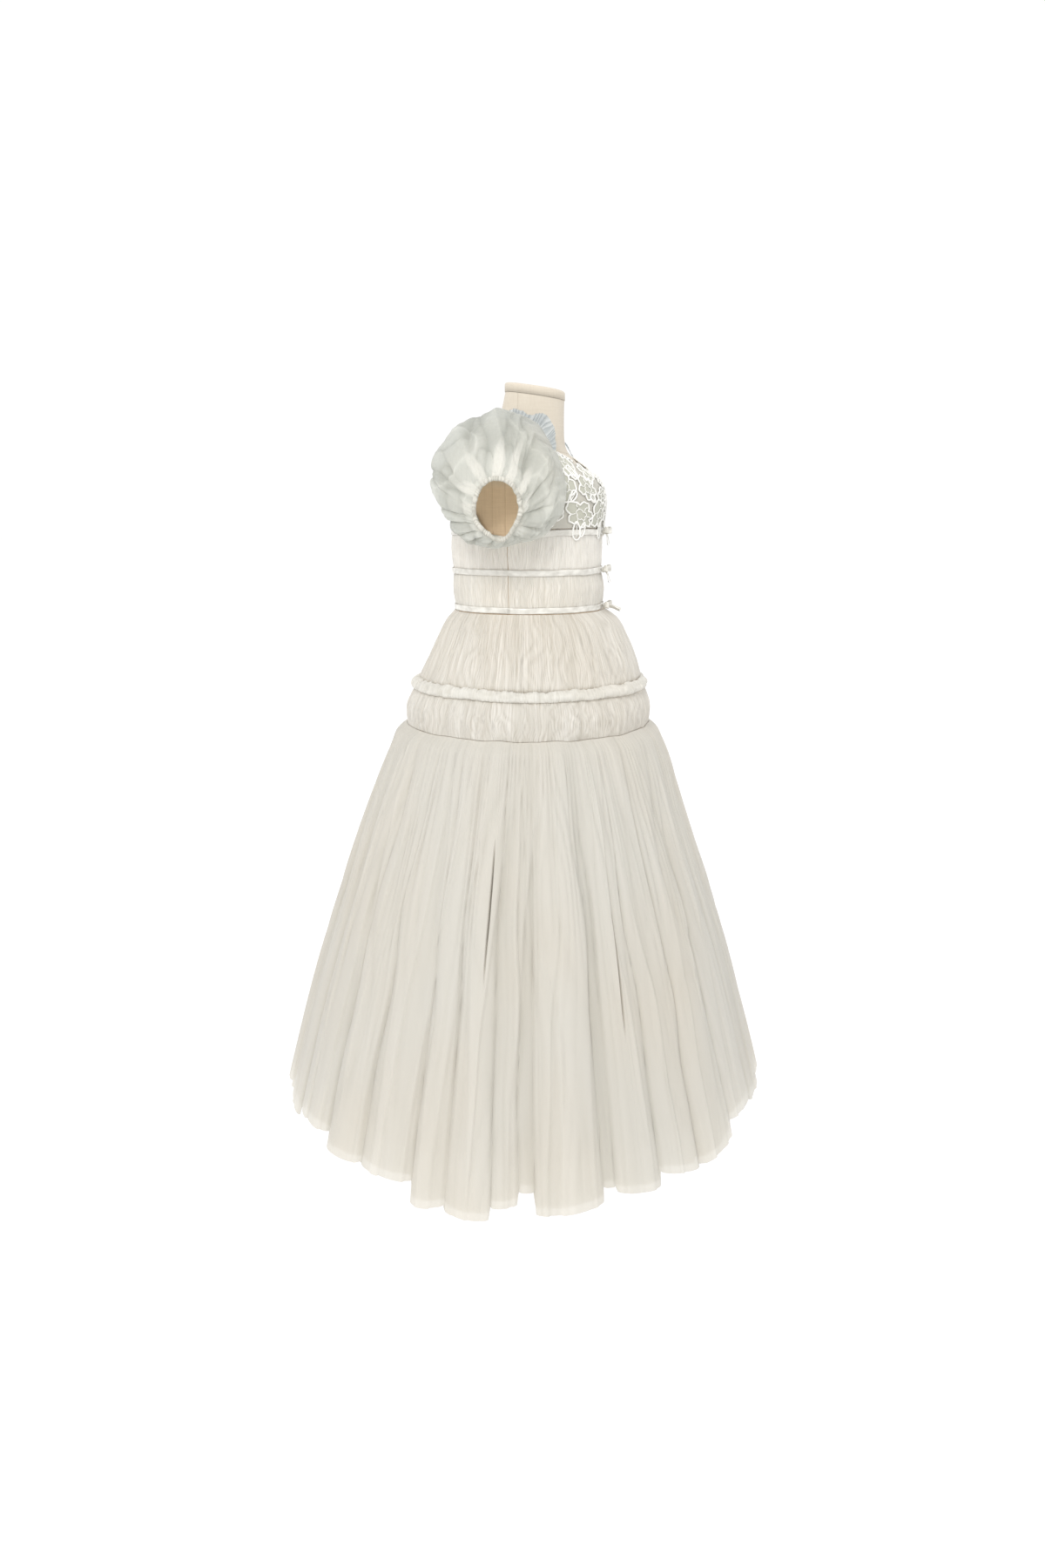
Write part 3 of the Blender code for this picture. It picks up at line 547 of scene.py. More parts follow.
def grid_faces(rows: int, columns: int, closed: bool) -> Array:
    """Return the four corners of each face of a grid, which may close round."""
    spans = columns if closed else columns - 1
    row = np.arange(rows - 1)[:, None] * columns
    place = np.arange(spans)[None, :]
    after = (place + 1) % columns
    quads = np.stack([row + place, row + after, row + columns + after, row + columns + place], -1)
    return quads.reshape(-1, 4)


@dataclass
class Patch:
    """One grid of points of a piece, with what its finish reads."""

    points: Array
    closed: bool = True
    tube: bool = False
    # relief: painted shade and highlight that the tulle finish reads, low in valleys and creases, high on
    # ridges.
    relief: Array | None = None
    thread: Array | None = None
    cover: Array | None = None

    def faces(self, start: int) -> Array:
        """Return its faces, counted from a first point."""
        rows, columns = self.points.shape[:2]
        quads = grid_faces(rows + 1 if self.tube else rows, columns, self.closed)
        return quads % (rows * columns) + start

    def shade(self, name: str) -> Array:
        """Return its relief or its cover, from 0 to 1, for each point."""
        given = {"relief": self.relief, "cover": self.cover}[name]
        whole = np.ones(self.points.shape[:2]) if given is None else given
        return np.clip(whole, 0.0, 1.0).reshape(-1)

    def threads(self) -> Array:
        """Return its thread places, one for each point."""
        thread = self.thread if self.thread is not None else self.points
        return thread.reshape(-1, 3)


def make_piece(name: str, patches: Sequence[Patch], material: bpy.types.Material) -> Any:
    """Make one smooth piece from its grids and put it on the body.

    Args:
        name: the piece's name.
        patches: its grids.
        material: its finish.

    Returns:
        The new object.
    """
    counts = np.cumsum([0] + [patch.points.shape[0] * patch.points.shape[1] for patch in patches])
    points = np.concatenate([patch.points.reshape(-1, 3) for patch in patches])
    faces = np.concatenate([patch.faces(int(at)) for patch, at in zip(patches, counts)])
    mesh = bpy.data.meshes.new(name)
    mesh.vertices.add(len(points))
    mesh.vertices.foreach_set("co", points.astype(np.float32).reshape(-1))
    mesh.loops.add(faces.size)
    mesh.loops.foreach_set("vertex_index", faces.astype(np.int32).reshape(-1))
    mesh.polygons.add(len(faces))
    mesh.polygons.foreach_set("loop_start", np.arange(0, faces.size, 4, dtype=np.int32))
    mesh.polygons.foreach_set("loop_total", np.full(len(faces), 4, dtype=np.int32))
    mesh.update(calc_edges=True)
    mesh.validate()
    for shade in ("relief", "cover"):
        values = np.concatenate([patch.shade(shade) for patch in patches]).astype(np.float32)
        mesh.attributes.new(shade, "FLOAT", "POINT").data.foreach_set("value", values)
    thread = mesh.attributes.new("thread", "FLOAT_VECTOR", "POINT")
    places = np.concatenate([patch.threads() for patch in patches])
    thread.data.foreach_set("vector", places.astype(np.float32).reshape(-1))
    mesh.shade_smooth()
    mesh.materials.append(material)
    piece = bpy.data.objects.new(name, mesh)
    bpy.context.scene.collection.objects.link(piece)
    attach(piece, BODY)
    LOG.info("%s: %d faces", name, len(faces))
    return piece


def cloth_area(points: Array, closed: bool) -> float:
    """Return the area of a grid's faces."""
    corners = points.reshape(-1, 3)[grid_faces(*points.shape[:2], closed)]
    first = np.cross(corners[:, 1] - corners[:, 0], corners[:, 2] - corners[:, 0])
    second = np.cross(corners[:, 2] - corners[:, 0], corners[:, 3] - corners[:, 0])
    return float((np.linalg.norm(first, axis=1) + np.linalg.norm(second, axis=1)).sum() / 2.0)


def swept_tube(path: Array, radius: Array, sides: int, closed: bool) -> Array:
    """Return the rings of a round tube along a path.

    A ring stands across the path, on an axis drawn from the path's own plane, so that it doesn't
    twist where the path is nearly flat.
    """
    if closed:
        along = np.roll(path, -1, axis=0) - np.roll(path, 1, axis=0)
    else:
        along = np.gradient(path, axis=0)
    along = along / np.maximum(np.linalg.norm(along, axis=1, keepdims=True), 1e-12)
    outward = path - path.mean(axis=0)
    outward = outward * np.array([1.0, 1.0, 0.35]) + np.array([1e-4, 0.0, 2e-4])
    side = np.cross(along, outward)
    side = side / np.maximum(np.linalg.norm(side, axis=1, keepdims=True), 1e-12)
    up = np.cross(side, along)
    turn = np.arange(sides) * TURN / sides
    ring = side[:, None, :] * np.cos(turn)[None, :, None] + up[:, None, :] * np.sin(turn)[None, :, None]
    return path[:, None, :] + ring * np.broadcast_to(radius, (len(path),))[:, None, None]


@dataclass(frozen=True)
class Section:
    """One level section of the body or gown."""

    height: float
    front: float
    back: float
    side: float
    lean: float = 0.0


@dataclass
class Body:
    """A body of level ovals, read by smooth curves between its sections."""

    sections: Sequence[Section]
    squareness: float
    tilt: float = 0.0

    def _read(self, name: str, height: Array) -> Array:
        """Return one size of the sections at a height."""
        heights = np.array([row.height for row in self.sections])
        return smooth_curve(height, heights, np.array([getattr(row, name) for row in self.sections]))

    def radius(self, angle: Array, height: Array) -> Array:
        """Return how far the oval at a height reaches at an angle."""
        angle, height = np.broadcast_arrays(angle, height)
        reach = np.where(
            np.cos(angle) > 0.0, self._read("front", height), self._read("back", height)
        )
        side = self._read("side", height)
        across = (np.abs(np.sin(angle)) / side) ** self.squareness
        along = (np.abs(np.cos(angle)) / reach) ** self.squareness
        return (across + along) ** (-1.0 / self.squareness)

    def points(self, angle: Array, height: Array, stand_off: Array | float) -> Array:
        """Return points at a distance off the body, tipped forwards where it leans."""
        radius = self.radius(angle, height) + stand_off
        placed = ring_points(angle, height, radius)
        if self.tilt:
            placed[..., 2] += placed[..., 1] * self.tilt * self._read("lean", placed[..., 2])
        return placed


def ring_points(angle: Array, height: Array, radius: Array) -> Array:
    """Return points at angles, heights and distances round the body's axis."""
    angle, height, radius = np.broadcast_arrays(angle, height, radius)
    return np.stack([radius * np.sin(angle), -radius * np.cos(angle), height], axis=-1)


def ring_thread(angle: Array, height: Array, reach: float = 0.15) -> Array:
    """Return places that follow a cloth's threads: round the ring at a fixed reach, and up."""
    return ring_points(angle, height, np.full(np.broadcast(angle, height).shape, reach))


FORM = Body(
    sections=(
        Section(0.5900, 0.0960, 0.0980, 0.1080),
        Section(0.6000, 0.0985, 0.1010, 0.1115),
        Section(0.6300, 0.0975, 0.0985, 0.1090),
        Section(0.6650, 0.0945, 0.0890, 0.1010),
        Section(0.6933, 0.0930, 0.0830, 0.0975),
        Section(0.7180, 0.0935, 0.0850, 0.0990),
        Section(0.7420, 0.0910, 0.0855, 0.1010),
        Section(0.7680, 0.0900, 0.0865, 0.1035),
        Section(0.7930, 0.0912, 0.0855, 0.1055),
        Section(0.8250, 0.0940, 0.0815, 0.1065),
        Section(0.8420, 0.0905, 0.0790, 0.1070),
        Section(0.8530, 0.0845, 0.0765, 0.1065),
        Section(0.8640, 0.0705, 0.0730, 0.1045),
        Section(0.8740, 0.0590, 0.0660, 0.0960),
        Section(0.8840, 0.0505, 0.0560, 0.0800, 0.1),
        Section(0.8960, 0.0468, 0.0450, 0.0590, 0.3),
        Section(0.9080, 0.0462, 0.0375, 0.0450, 0.5),
        Section(0.9280, 0.0462, 0.0300, 0.0375, 0.8),
        Section(0.9505, 0.0466, 0.0245, 0.0345, 1.0),
    ),
    squareness=2.3,
    tilt=math.tan(math.radians(8.0)),
)

GOWN = Body(
    sections=(
        Section(0.0200, 0.3348, 0.3348, 0.3330),
        Section(0.1012, 0.3135, 0.3135, 0.3120),
        Section(0.2218, 0.2805, 0.2805, 0.2790),
        Section(0.3398, 0.2430, 0.2430, 0.2420),
        Section(0.4556, 0.2025, 0.2025, 0.2020),
        Section(0.5127, 0.1840, 0.1780, 0.1810),
        Section(0.5375, 0.1715, 0.1665, 0.1690),
        Section(0.5497, 0.1615, 0.1550, 0.1585),
        Section(0.5690, 0.1620, 0.1550, 0.1585),
        Section(0.5945, 0.1540, 0.1440, 0.1490),
        Section(0.6095, 0.1490, 0.1370, 0.1430),
        Section(0.6300, 0.1435, 0.1265, 0.1350),
        Section(0.6550, 0.1330, 0.1145, 0.1250),
        Section(0.6800, 0.1190, 0.1015, 0.1140),
        Section(0.6930, 0.1010, 0.0895, 0.1040),
    ),
    squareness=2.1,
)

FORM_SEAMS = (
    Seam((0.0, 1.0, 0.0), 0.0030, 0.59, 0.96),
    Seam((0.0, 1.0, 0.0), 0.0185, 0.59, 0.85),
    Seam((1.0, 0.0, 0.0), 0.0, 0.59, 0.96),
    Seam((1.0, 0.0, 0.0), -0.0460, 0.59, 0.86),
    Seam((1.0, 0.0, 0.0), 0.0460, 0.59, 0.86),
    Seam((0.0, -0.1200, 1.0), 0.8880, 0.86, 0.92),
)

LACE_NODES = 11
UNDERARM_SEAM = 0.7930
MIDDLE_SEAM = 0.7420
WAIST_SEAM = 0.6933
ROLL_CENTRE = 0.6020
SKIRT_SEAM = 0.5497
UNDERARM_DIP = 0.0085
UNDERARM_DIP_WIDTH = 17.0


class Side(Enum):
    """Which side of the wearer a piece is on, as the sign of its X."""

    RIGHT = -1.0
    LEFT = 1.0

    @property
    def label(self) -> str:
        """Return the side's word in piece names."""
        return self.name.lower()


class Half(Enum):
    """Which half of the bodice a panel covers, as the angle that it faces."""

    FRONT = 0.0
    BACK = math.pi

    @property
    def label(self) -> str:
        """Return the half's word in piece names."""
        return self.name.lower()


@dataclass
class Wardrobe:
    """The built materials, one for each slot of the record, and for the net over the lace."""

    tulle: bpy.types.Material
    sleeve_tulle: bpy.types.Material
    tier_tulle: bpy.types.Material
    band_tulle: bpy.types.Material
    frill_tulle: bpy.types.Material
    cuff_tulle: bpy.types.Material
    sleeve_lining: bpy.types.Material
    bodice_net: bpy.types.Material
    bodice_lining: bpy.types.Material
    skirt_lining: bpy.types.Material
    satin_ribbon: bpy.types.Material
    lace_cord: bpy.types.Material
    lace_net: bpy.types.Material
    form_linen: bpy.types.Material
    cap_linen: bpy.types.Material
    stand_steel: bpy.types.Material


def dress_piece(piece: Any, slot: str, *nodes: str) -> Any:
    """Hide the imported parts that a piece stands for and return the piece."""
    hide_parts(*nodes)
    return piece


def sew(
    name: str, node: str, slot: str, patch: Patch, finish: bpy.types.Material,
) -> None:
    """Make a cloth piece, dress it and log its area.

    Args:
        name: the piece's name.
        node: the node that it stands for.
        slot: the slot of its finish; it is not used.
        patch: its grid.
        finish: its material.
    """
    piece = make_piece(name, [patch], finish)
    dress_piece(piece, slot, node)
    LOG.info("%s area %.4f m2", name, cloth_area(patch.points, patch.closed))


def underarm_dip(angle: Array) -> Array:
    """Return how far the underarm seam and its ribbon dip below the armholes at an angle."""
    away = np.abs(np.abs(wrapped(angle)) - math.pi / 2.0)
    return UNDERARM_DIP * np.exp(-(away / math.radians(UNDERARM_DIP_WIDTH)) ** 2)


def full_turn(columns: int) -> Array:
    """Return even angles round a full turn, as one row."""
    return (np.arange(columns) * TURN / columns)[None, :]


def shares(rows: int) -> Array:
    """Return even shares from 0 to 1, as one column."""
    return np.linspace(0.0, 1.0, rows)[:, None]


@dataclass
class DressForm:
    """The linen covered form with its neck cap and the steel stand under it."""

    foot: float = 0.5900
    top: float = 0.9505
    cap_thickness: float = 0.0110
    cap_round: float = 0.0030
    cap_overhang: float = 0.0008
    base_radius: float = 0.1400
    base_thickness: float = 0.0080
    base_round: float = 0.0025
    collar_radius: float = 0.0240
    collar_height: float = 0.0220
    pole_radius: float = 0.0125
    gap: float = 0.0003
    columns: int = 144

    def skin(self) -> list[Patch]:
        """Return the form's side and its flat underside."""
        angle = full_turn(self.columns)
        height = self.foot + shares(90) * (self.top - self.foot)
        side = FORM.points(angle, height, 0.0)
        inward = np.linspace(0.0, 1.0, 10)[:, None, None]
        under = side[:1] * np.array([1.0, 1.0, 0.0]) * inward + np.array([0.0, 0.0, self.foot])
        return [Patch(under), Patch(side)]

    def cap(self) -> list[Patch]:
        """Return the cap's rounded edge and its flat top, level with the tipped neck."""
        rim = FORM.points(full_turn(self.columns), np.array([[self.top]]), 0.0)[0]
        centre = rim.mean(axis=0)
        turn = np.linspace(0.0, math.pi / 2.0, 7)
        spread = np.concatenate([
            [-self.cap_round, self.cap_overhang],
            self.cap_overhang - self.cap_round * (1.0 - np.cos(turn)),
        ])
        rise = np.concatenate([
            [self.gap, self.gap],
            self.cap_thickness - self.cap_round * (1.0 - np.sin(turn)),
        ])
        reach = np.linalg.norm(rim - centre, axis=1)[None, :, None]
        scale = 1.0 + spread[:, None, None] / reach
        edge = centre + (rim - centre) * scale
        edge[..., 2] += rise[:, None]
        inward = np.linspace(1.0, 0.0, 12)[:, None, None]
        middle = centre + np.array([0.0, 0.0, self.cap_thickness])
        top = middle + (edge[-1] - middle) * inward
        return [Patch(edge), Patch(top)]

    def turned(self, profile: Sequence[tuple[float, float]]) -> Patch:
        """Return a turned piece from its rows of radius and height."""
        rows = np.array(profile)
        angle = full_turn(96)
        points = ring_points(angle, rows[:, 1:], rows[:, :1] * np.ones_like(angle))
        return Patch(points)

    def stand(self) -> dict[str, list[tuple[float, float]]]:
        """Return the profile of each of the stand's turned pieces."""
        arc = np.linspace(0.0, math.pi / 2.0, 6)
        edge = self.base_radius - self.base_round
        low = [(edge + self.base_round * math.sin(a), self.base_round * (1.0 - math.cos(a)))
               for a in arc]
        high = [(radius, self.base_thickness - height) for radius, height in reversed(low)]
        foot = self.base_thickness + self.gap
        head = foot + self.collar_height
        collar = [(self.collar_radius, foot), (self.collar_radius, foot + self.collar_height * 0.46)]
        sweep = np.linspace(0.0, 1.0, 7)[1:]
        collar += [
            (self.collar_radius + (self.pole_radius - self.collar_radius) * share ** 0.8,
             foot + self.collar_height * (0.46 + 0.54 * share ** 1.2))
            for share in sweep
        ]
        return {
            "stand_base": [(0.0, 0.0)] + low + high + [(0.0, self.base_thickness)],
            "stand_collar": [(self.pole_radius, foot)] + collar,
            "stand_pole": [(self.pole_radius, head + self.gap), (self.pole_radius, self.foot - self.gap)],
        }

    def build(self, wardrobe: Wardrobe) -> None:
        """Make and dress the form, the cap and the stand."""
        skin = make_piece("form_skin", self.skin(), wardrobe.form_linen)
        dress_piece(skin, "form_linen", "dress_form")
        cap = make_piece("form_cap", self.cap(), wardrobe.cap_linen)
        dress_piece(cap, "form_linen", "neck_cap")
        for node, profile in self.stand().items():
            piece = make_piece(f"{node}_turned", [self.turned(profile)], wardrobe.stand_steel)
            dress_piece(piece, "stand_steel", node)


@dataclass
class Bodice:
    """The bodice's front and back panels: a nude lining under fine net."""

    lining_stand_off: float = 0.0030
    net_stand_off: float = 0.0041
    clearance: float = 0.0041
    armhole_margin: float = -0.0035
    underarm_margin: float = 0.0035
    underarm_start: float = 0.8080
    underarm_fade: float = 0.0120
    shoulder: tuple[float, float] = (0.0520, 0.9160)
    underarm: tuple[float, float] = (0.1120, 0.7840)
    neck_front: tuple[float, float] = (0.8640, 0.0240)
    neck_back: tuple[float, float] = (0.8720, 0.0160)
    columns: int = 161
    rows: int = 40

    def armhole(self, height: Array) -> Array:
        """Return the angle at which a panel meets the sleeve, found by halving."""
        share = (self.shoulder[1] - height) / (self.shoulder[1] - self.underarm[1])
        limit = self.shoulder[0] + share * (self.underarm[0] - self.shoulder[0])
        below = np.clip((self.underarm_start - height) / self.underarm_fade, 0.0, 1.0)
        low_margin = self.underarm_margin * below
        low = np.zeros_like(height)
        high = np.full_like(height, math.pi / 2.0 - 0.003)
        for _ in range(24):
            middle = (low + high) / 2.0
            inside = (FORM.radius(middle, height) + self.clearance) * np.sin(middle)
            fits = inside < limit - self.armhole_margin - low_margin
            low = np.where(fits, middle, low)
            high = np.where(fits, high, middle)
        return low

    def top(self, half: Half, across: Array) -> Array:
        """Return the neckline's height at a share across a panel."""
        centre, rise = self.neck_front if half is Half.FRONT else self.neck_back
        return centre + rise * across ** 2

    def place(self, half: Half, across: Array, share: Array) -> tuple[Array, Array]:
        """Return the angle and height at a share across and up a panel."""
        lower = UNDERARM_SEAM + 0.0003
        height = lower + share * (self.top(half, across) - lower)
        angle = half.value + across * self.armhole(height)
        return angle, height - (1.0 - share) * underarm_dip(angle)

    def panel(self, half: Half, stand_off: float) -> Patch:
        """Return a panel's cloth at a distance off the form, with faint upright ripples."""
        across = np.linspace(-1.0, 1.0, self.columns)[None, :]
        angle, height = self.place(half, across, shares(self.rows))
        ripple = gathers(angle, height * 2.0, 96, 0.8, 311) * 0.0004
        points = FORM.points(angle, height, stand_off - ripple)
        # The relief paints faint shade and highlight along the ripples.
        return Patch(points, closed=False, relief=0.7 + ripple * 700.0,
                     thread=ring_thread(angle, height, 0.09))

    def build(self, wardrobe: Wardrobe) -> None:
        """Make and dress both panels' lining and net."""
        for half in Half:
            node = f"bodice_{half.label}"
            for layer, slot, stand_off, finish in (
                ("lining", "bodice_lining", self.lining_stand_off, wardrobe.bodice_lining),
                ("net", "tulle", self.net_stand_off, wardrobe.bodice_net),
            ):
                sew(f"{node}_{layer}", node, slot, self.panel(half, stand_off), finish)


@dataclass(frozen=True)
class Motif:
    """One ruffled lace shape: where it lies, its half sizes, its scallops and its turn in degrees."""

    angle: float
    height: float
    across: float
    up: float
    scallops: int
    turn: float


@dataclass
class Lace:
    """Generic corded flowers, filled with denser net, leaves and the neckline's corded edge."""

    cord: float = 0.00104
    vein: float = 0.00056
    stand_off: float = 0.0054
    samples: int = 96
    cusp: float = 0.38
    warp: float = 0.30
    motifs: Sequence[Motif] = (
        Motif(-63.0, 0.8130, 0.0190, 0.0180, 5, 75.0),
        Motif(-41.0, 0.8080, 0.0240, 0.0160, 6, -12.0),
        Motif(-15.0, 0.8100, 0.0240, 0.0170, 5, 20.0),
        Motif(12.0, 0.8080, 0.0240, 0.0160, 6, -8.0),
        Motif(38.0, 0.8100, 0.0230, 0.0160, 5, 12.0),
        Motif(63.0, 0.8120, 0.0190, 0.0175, 5, -70.0),
        Motif(-55.0, 0.8410, 0.0180, 0.0160, 5, 35.0),
        Motif(-34.0, 0.8380, 0.0190, 0.0140, 6, -25.0),
        Motif(-10.0, 0.8310, 0.0190, 0.0100, 5, 6.0),
        Motif(17.0, 0.8310, 0.0190, 0.0105, 6, -10.0),
        Motif(42.0, 0.8380, 0.0190, 0.0140, 5, 24.0),
        Motif(-48.0, 0.8650, 0.0150, 0.0150, 5, 60.0),
        Motif(48.0, 0.8640, 0.0150, 0.0140, 5, -40.0),
        Motif(-25.0, 0.8580, 0.0165, 0.0110, 5, 22.0),
        Motif(2.0, 0.8520, 0.0185, 0.0095, 6, -4.0),
        Motif(28.0, 0.8580, 0.0165, 0.0110, 5, -18.0),
    )

    def placed(self, motif: Motif, along: Array, rise: Array, lift: Array | float) -> Array:
        """Return points on the bodice from places measured from a motif's centre."""
        tip = math.radians(motif.turn)
        sideways = along * math.cos(tip) - rise * math.sin(tip)
        upward = along * math.sin(tip) + rise * math.cos(tip)
        height = motif.height + upward
        centre = math.radians(motif.angle)
        angle = centre + sideways / (FORM.radius(centre, height) + self.stand_off)
        return FORM.points(angle, height, self.stand_off + lift)

    def ruffled(
        self, motif: Motif, around: Array, scale: Array | float, scallops: int
    ) -> tuple[Array, Array]:
        """Return a ruffled outline: round bumps that meet in cusps, on a slightly lopsided oval."""
        warped = around + self.warp * np.sin(around + motif.turn)
        bump = np.abs(np.sin(scallops * warped / 2.0)) ** 0.75
        bump = bump + 0.10 * np.sin(scallops * 3.0 * warped) * bump
        lopsided = 1.0 + 0.11 * np.cos(around - 1.3 - motif.turn) + 0.07 * np.cos(2.0 * around + motif.turn)
        reach = scale * lopsided * (1.0 - self.cusp * (1.0 - bump))
        return reach * np.cos(around) * motif.across, reach * np.sin(around) * motif.up

    def flower(self, motif: Motif) -> tuple[list[Patch], Patch]:
        """Return a flower's cords and its denser net."""
        around = np.arange(self.samples) * TURN / self.samples
        cords = []
        for scale, scallops, radius, lift in (
            (1.00, motif.scallops, self.cord, 0.0),
            (0.40, motif.scallops - 2, self.vein, 0.0003),
        ):
            along, rise = self.ruffled(motif, around, scale, scallops)
            path = self.placed(motif, along, rise, lift)
            cords.append(Patch(swept_tube(path, radius, 6, True), tube=True))
        for number in range(motif.scallops):
            cusp = np.full(6, TURN * number / motif.scallops)
            bend = cusp + 0.16 * np.sin(np.linspace(0.0, math.pi, 6))
            along, rise = self.ruffled(motif, bend, np.linspace(0.50, 0.98, 6), 0)
            scale = 1.0 / (1.0 - self.cusp)
            path = self.placed(motif, along * scale * 0.80, rise * scale * 0.80, 0.0001)
            cords.append(Patch(swept_tube(path, self.vein, 6, False)))
        fill = np.linspace(0.98, 0.0, 5)[:, None]
        along, rise = self.ruffled(motif, around[None, :], fill, motif.scallops)
        net = self.placed(motif, along, rise, 0.0004 * (1.0 - fill ** 2) - 0.0006)
        return cords, Patch(net[:, ::-1])

    def leaf(self, seat: Motif, length: float, width: float) -> list[Patch]:
        """Return a leaf's outline and its middle vein, as cords on the bodice."""
        around = np.arange(36) * TURN / 36
        along = length * (1.0 - np.cos(around)) / 2.0
        rise = width * np.sin(around) * (1.0 - 0.35 * np.cos(around)) * 0.5
        outline = self.placed(seat, along, rise, 0.0)
        way = np.linspace(0.08, 0.86, 14)
        vein = self.placed(seat, length * way, 0.06 * width * np.sin(way * 6.0), 0.0002)
        return [
            Patch(swept_tube(outline, self.cord, 6, True), tube=True),
            Patch(swept_tube(vein, self.vein, 6, False)),
        ]

    def leaves(self) -> list[Patch]:
        """Return leaves between the flowers, some of them over the first ribbon."""
        cords = []
        rows = (
            (-45.0, 0.8010, 0.0210, 0.0120, -84.0), (-37.0, 0.8000, 0.0170, 0.0080, -112.0),
            (-12.0, 0.8000, 0.0190, 0.0100, -96.0),
            (17.0, 0.8000, 0.0170, 0.0085, -80.0), (46.0, 0.8000, 0.0190, 0.0100, -98.0),
            (-50.0, 0.8240, 0.0140, 0.0080, 60.0), (-25.0, 0.8240, 0.0130, 0.0075, 150.0),
            (-1.0, 0.8200, 0.0120, 0.0070, 40.0), (27.0, 0.8230, 0.0130, 0.0075, 70.0),
            (-44.0, 0.8520, 0.0140, 0.0080, 115.0), (44.0, 0.8510, 0.0130, 0.0075, 60.0),
        )
        for angle, height, length, width, turn in rows:
            cords += self.leaf(Motif(angle, height, 1.0, 1.0, 1, turn), length, width)
        return cords

    def edging(self, bodice: Bodice, half: Half, first: float, last: float, count: int) -> list[Patch]:
        """Return a stretch of the neckline's edge cord and the small arches that stand on it."""
        samples = count * 10 + 1
        angle, height = bodice.place(half, np.linspace(first, last, samples), np.ones(samples))
        arch = np.abs(np.sin(np.linspace(0.0, count * math.pi, samples))) ** 0.7
        edge = FORM.points(angle, height, self.stand_off - 0.0006)
        raised_edge = FORM.points(angle, height + 0.0034 * arch, self.stand_off - 0.0002 - 0.0012 * arch)
        return [
            Patch(swept_tube(edge, self.vein, 6, False)),
            Patch(swept_tube(raised_edge, self.cord, 6, False)),
        ]

    def build(self, bodice: Bodice, wardrobe: Wardrobe) -> None:
        """Make and dress the cords and the petals' net."""
        nodes = [f"lace_motif_{number:02d}" for number in range(1, LACE_NODES + 1)]
        flowers = [self.flower(motif) for motif in self.motifs]
        cords = [cord for flower_cords, _ in flowers for cord in flower_cords] + self.leaves()
        nets = [net for _, net in flowers]
        cords += self.edging(bodice, Half.FRONT, -1.0, -0.52, 7)
        cords += self.edging(bodice, Half.FRONT, 0.52, 1.0, 7)
        cords += self.edging(bodice, Half.BACK, -1.0, 1.0, 30)
        piece = make_piece("lace_cords", cords, wardrobe.lace_cord)
        dress_piece(piece, "lace_cord", *nodes)
        piece = make_piece("lace_petals", nets, wardrobe.lace_net)
        dress_piece(piece, "lace_cord", *nodes)


@dataclass
class Bands:
    """The two gathered bands under the bust, each with a front and a back."""

    count: int = 250
    clearance: float = 0.0020
    pinch: float = 0.0003
    depth: float = 0.0019
    puff: float = 0.0016
    seam: float = 0.0003
    upper_light: float = 0.42
    columns: int = 801
    rows: int = 15

    def strip(self, half: Half, lower: float, upper: float, seed: int, dip: float) -> Patch:
        """Return a band's gathers, flat at both seams and puffed between them.

        The upper band's top dips under the arms, and its colour is lifted with painted light against the
        sleeve's shade.
        """
        edge = math.pi / 2.0 - self.seam / 0.1
        angle = half.value + np.linspace(-edge, edge, self.columns)[None, :]
        share = shares(self.rows)
        height = lower + self.seam + share * (upper - lower - 2.0 * self.seam)
        height = height - share * dip * underarm_dip(angle)
        puff = np.sin(math.pi * share) ** 0.6
        fine = gathers(angle, share, self.count, 1.4, seed)
        broad = gathers(angle, share, self.count // 3, 1.0, seed + 5)
        relief = fine * 0.72 + broad * 0.28
        depth = self.pinch + puff * (self.depth - self.pinch)
        points = FORM.points(angle, height, self.clearance + self.puff * puff + relief * depth)
        # Painted shade and highlight follow the gathers, and the upper band gets painted light.
        light = relief + self.upper_light * dip
        return Patch(points, closed=False, relief=light, thread=ring_thread(angle, height, 0.1))

    def build(self, wardrobe: Wardrobe, ribbons: Mapping[str, list[Any]]) -> None:
        """Make and dress the four strips."""
        for place, lower, upper, seed, dip, sewn in (
            ("upper", MIDDLE_SEAM, UNDERARM_SEAM, 41, 1.0, ribbons["upper"] + ribbons["middle"]),
            ("lower", WAIST_SEAM, MIDDLE_SEAM, 47, 0.0, ribbons["waist"]),
        ):
            for half in Half:
                node = f"band_{place}_{half.label}"
                sew(f"{node}_gathers", node, "tulle", self.strip(half, lower, upper, seed, dip),
                    wardrobe.band_tulle)


SEAM_PINCH = (0.0020, 0.0010, 0.0035)
SEAM_SWAY = (0.0010, 0.0120)


def seam_pinch(angle: Array, height: Array) -> Array:
    """Return how far the skirt's seam draws the cloth in on both sides, unevenly round the body."""
    away = np.abs(height - SKIRT_SEAM)
    depth, stray, reach = SEAM_PINCH
    pinch = depth + stray * ring_noise(angle, np.zeros_like(angle), 64, 1, 601)
    return pinch * np.exp(-away / reach)


def seam_sway(angle: Array, height: Array) -> Array:
    """Return how far the skirt's seam wanders up and down, fading away from it."""
    away = np.abs(height - SKIRT_SEAM)
    stray, reach = SEAM_SWAY
    return stray * ring_noise(angle, np.zeros_like(angle), 44, 1, 603) * np.exp(-away / reach)


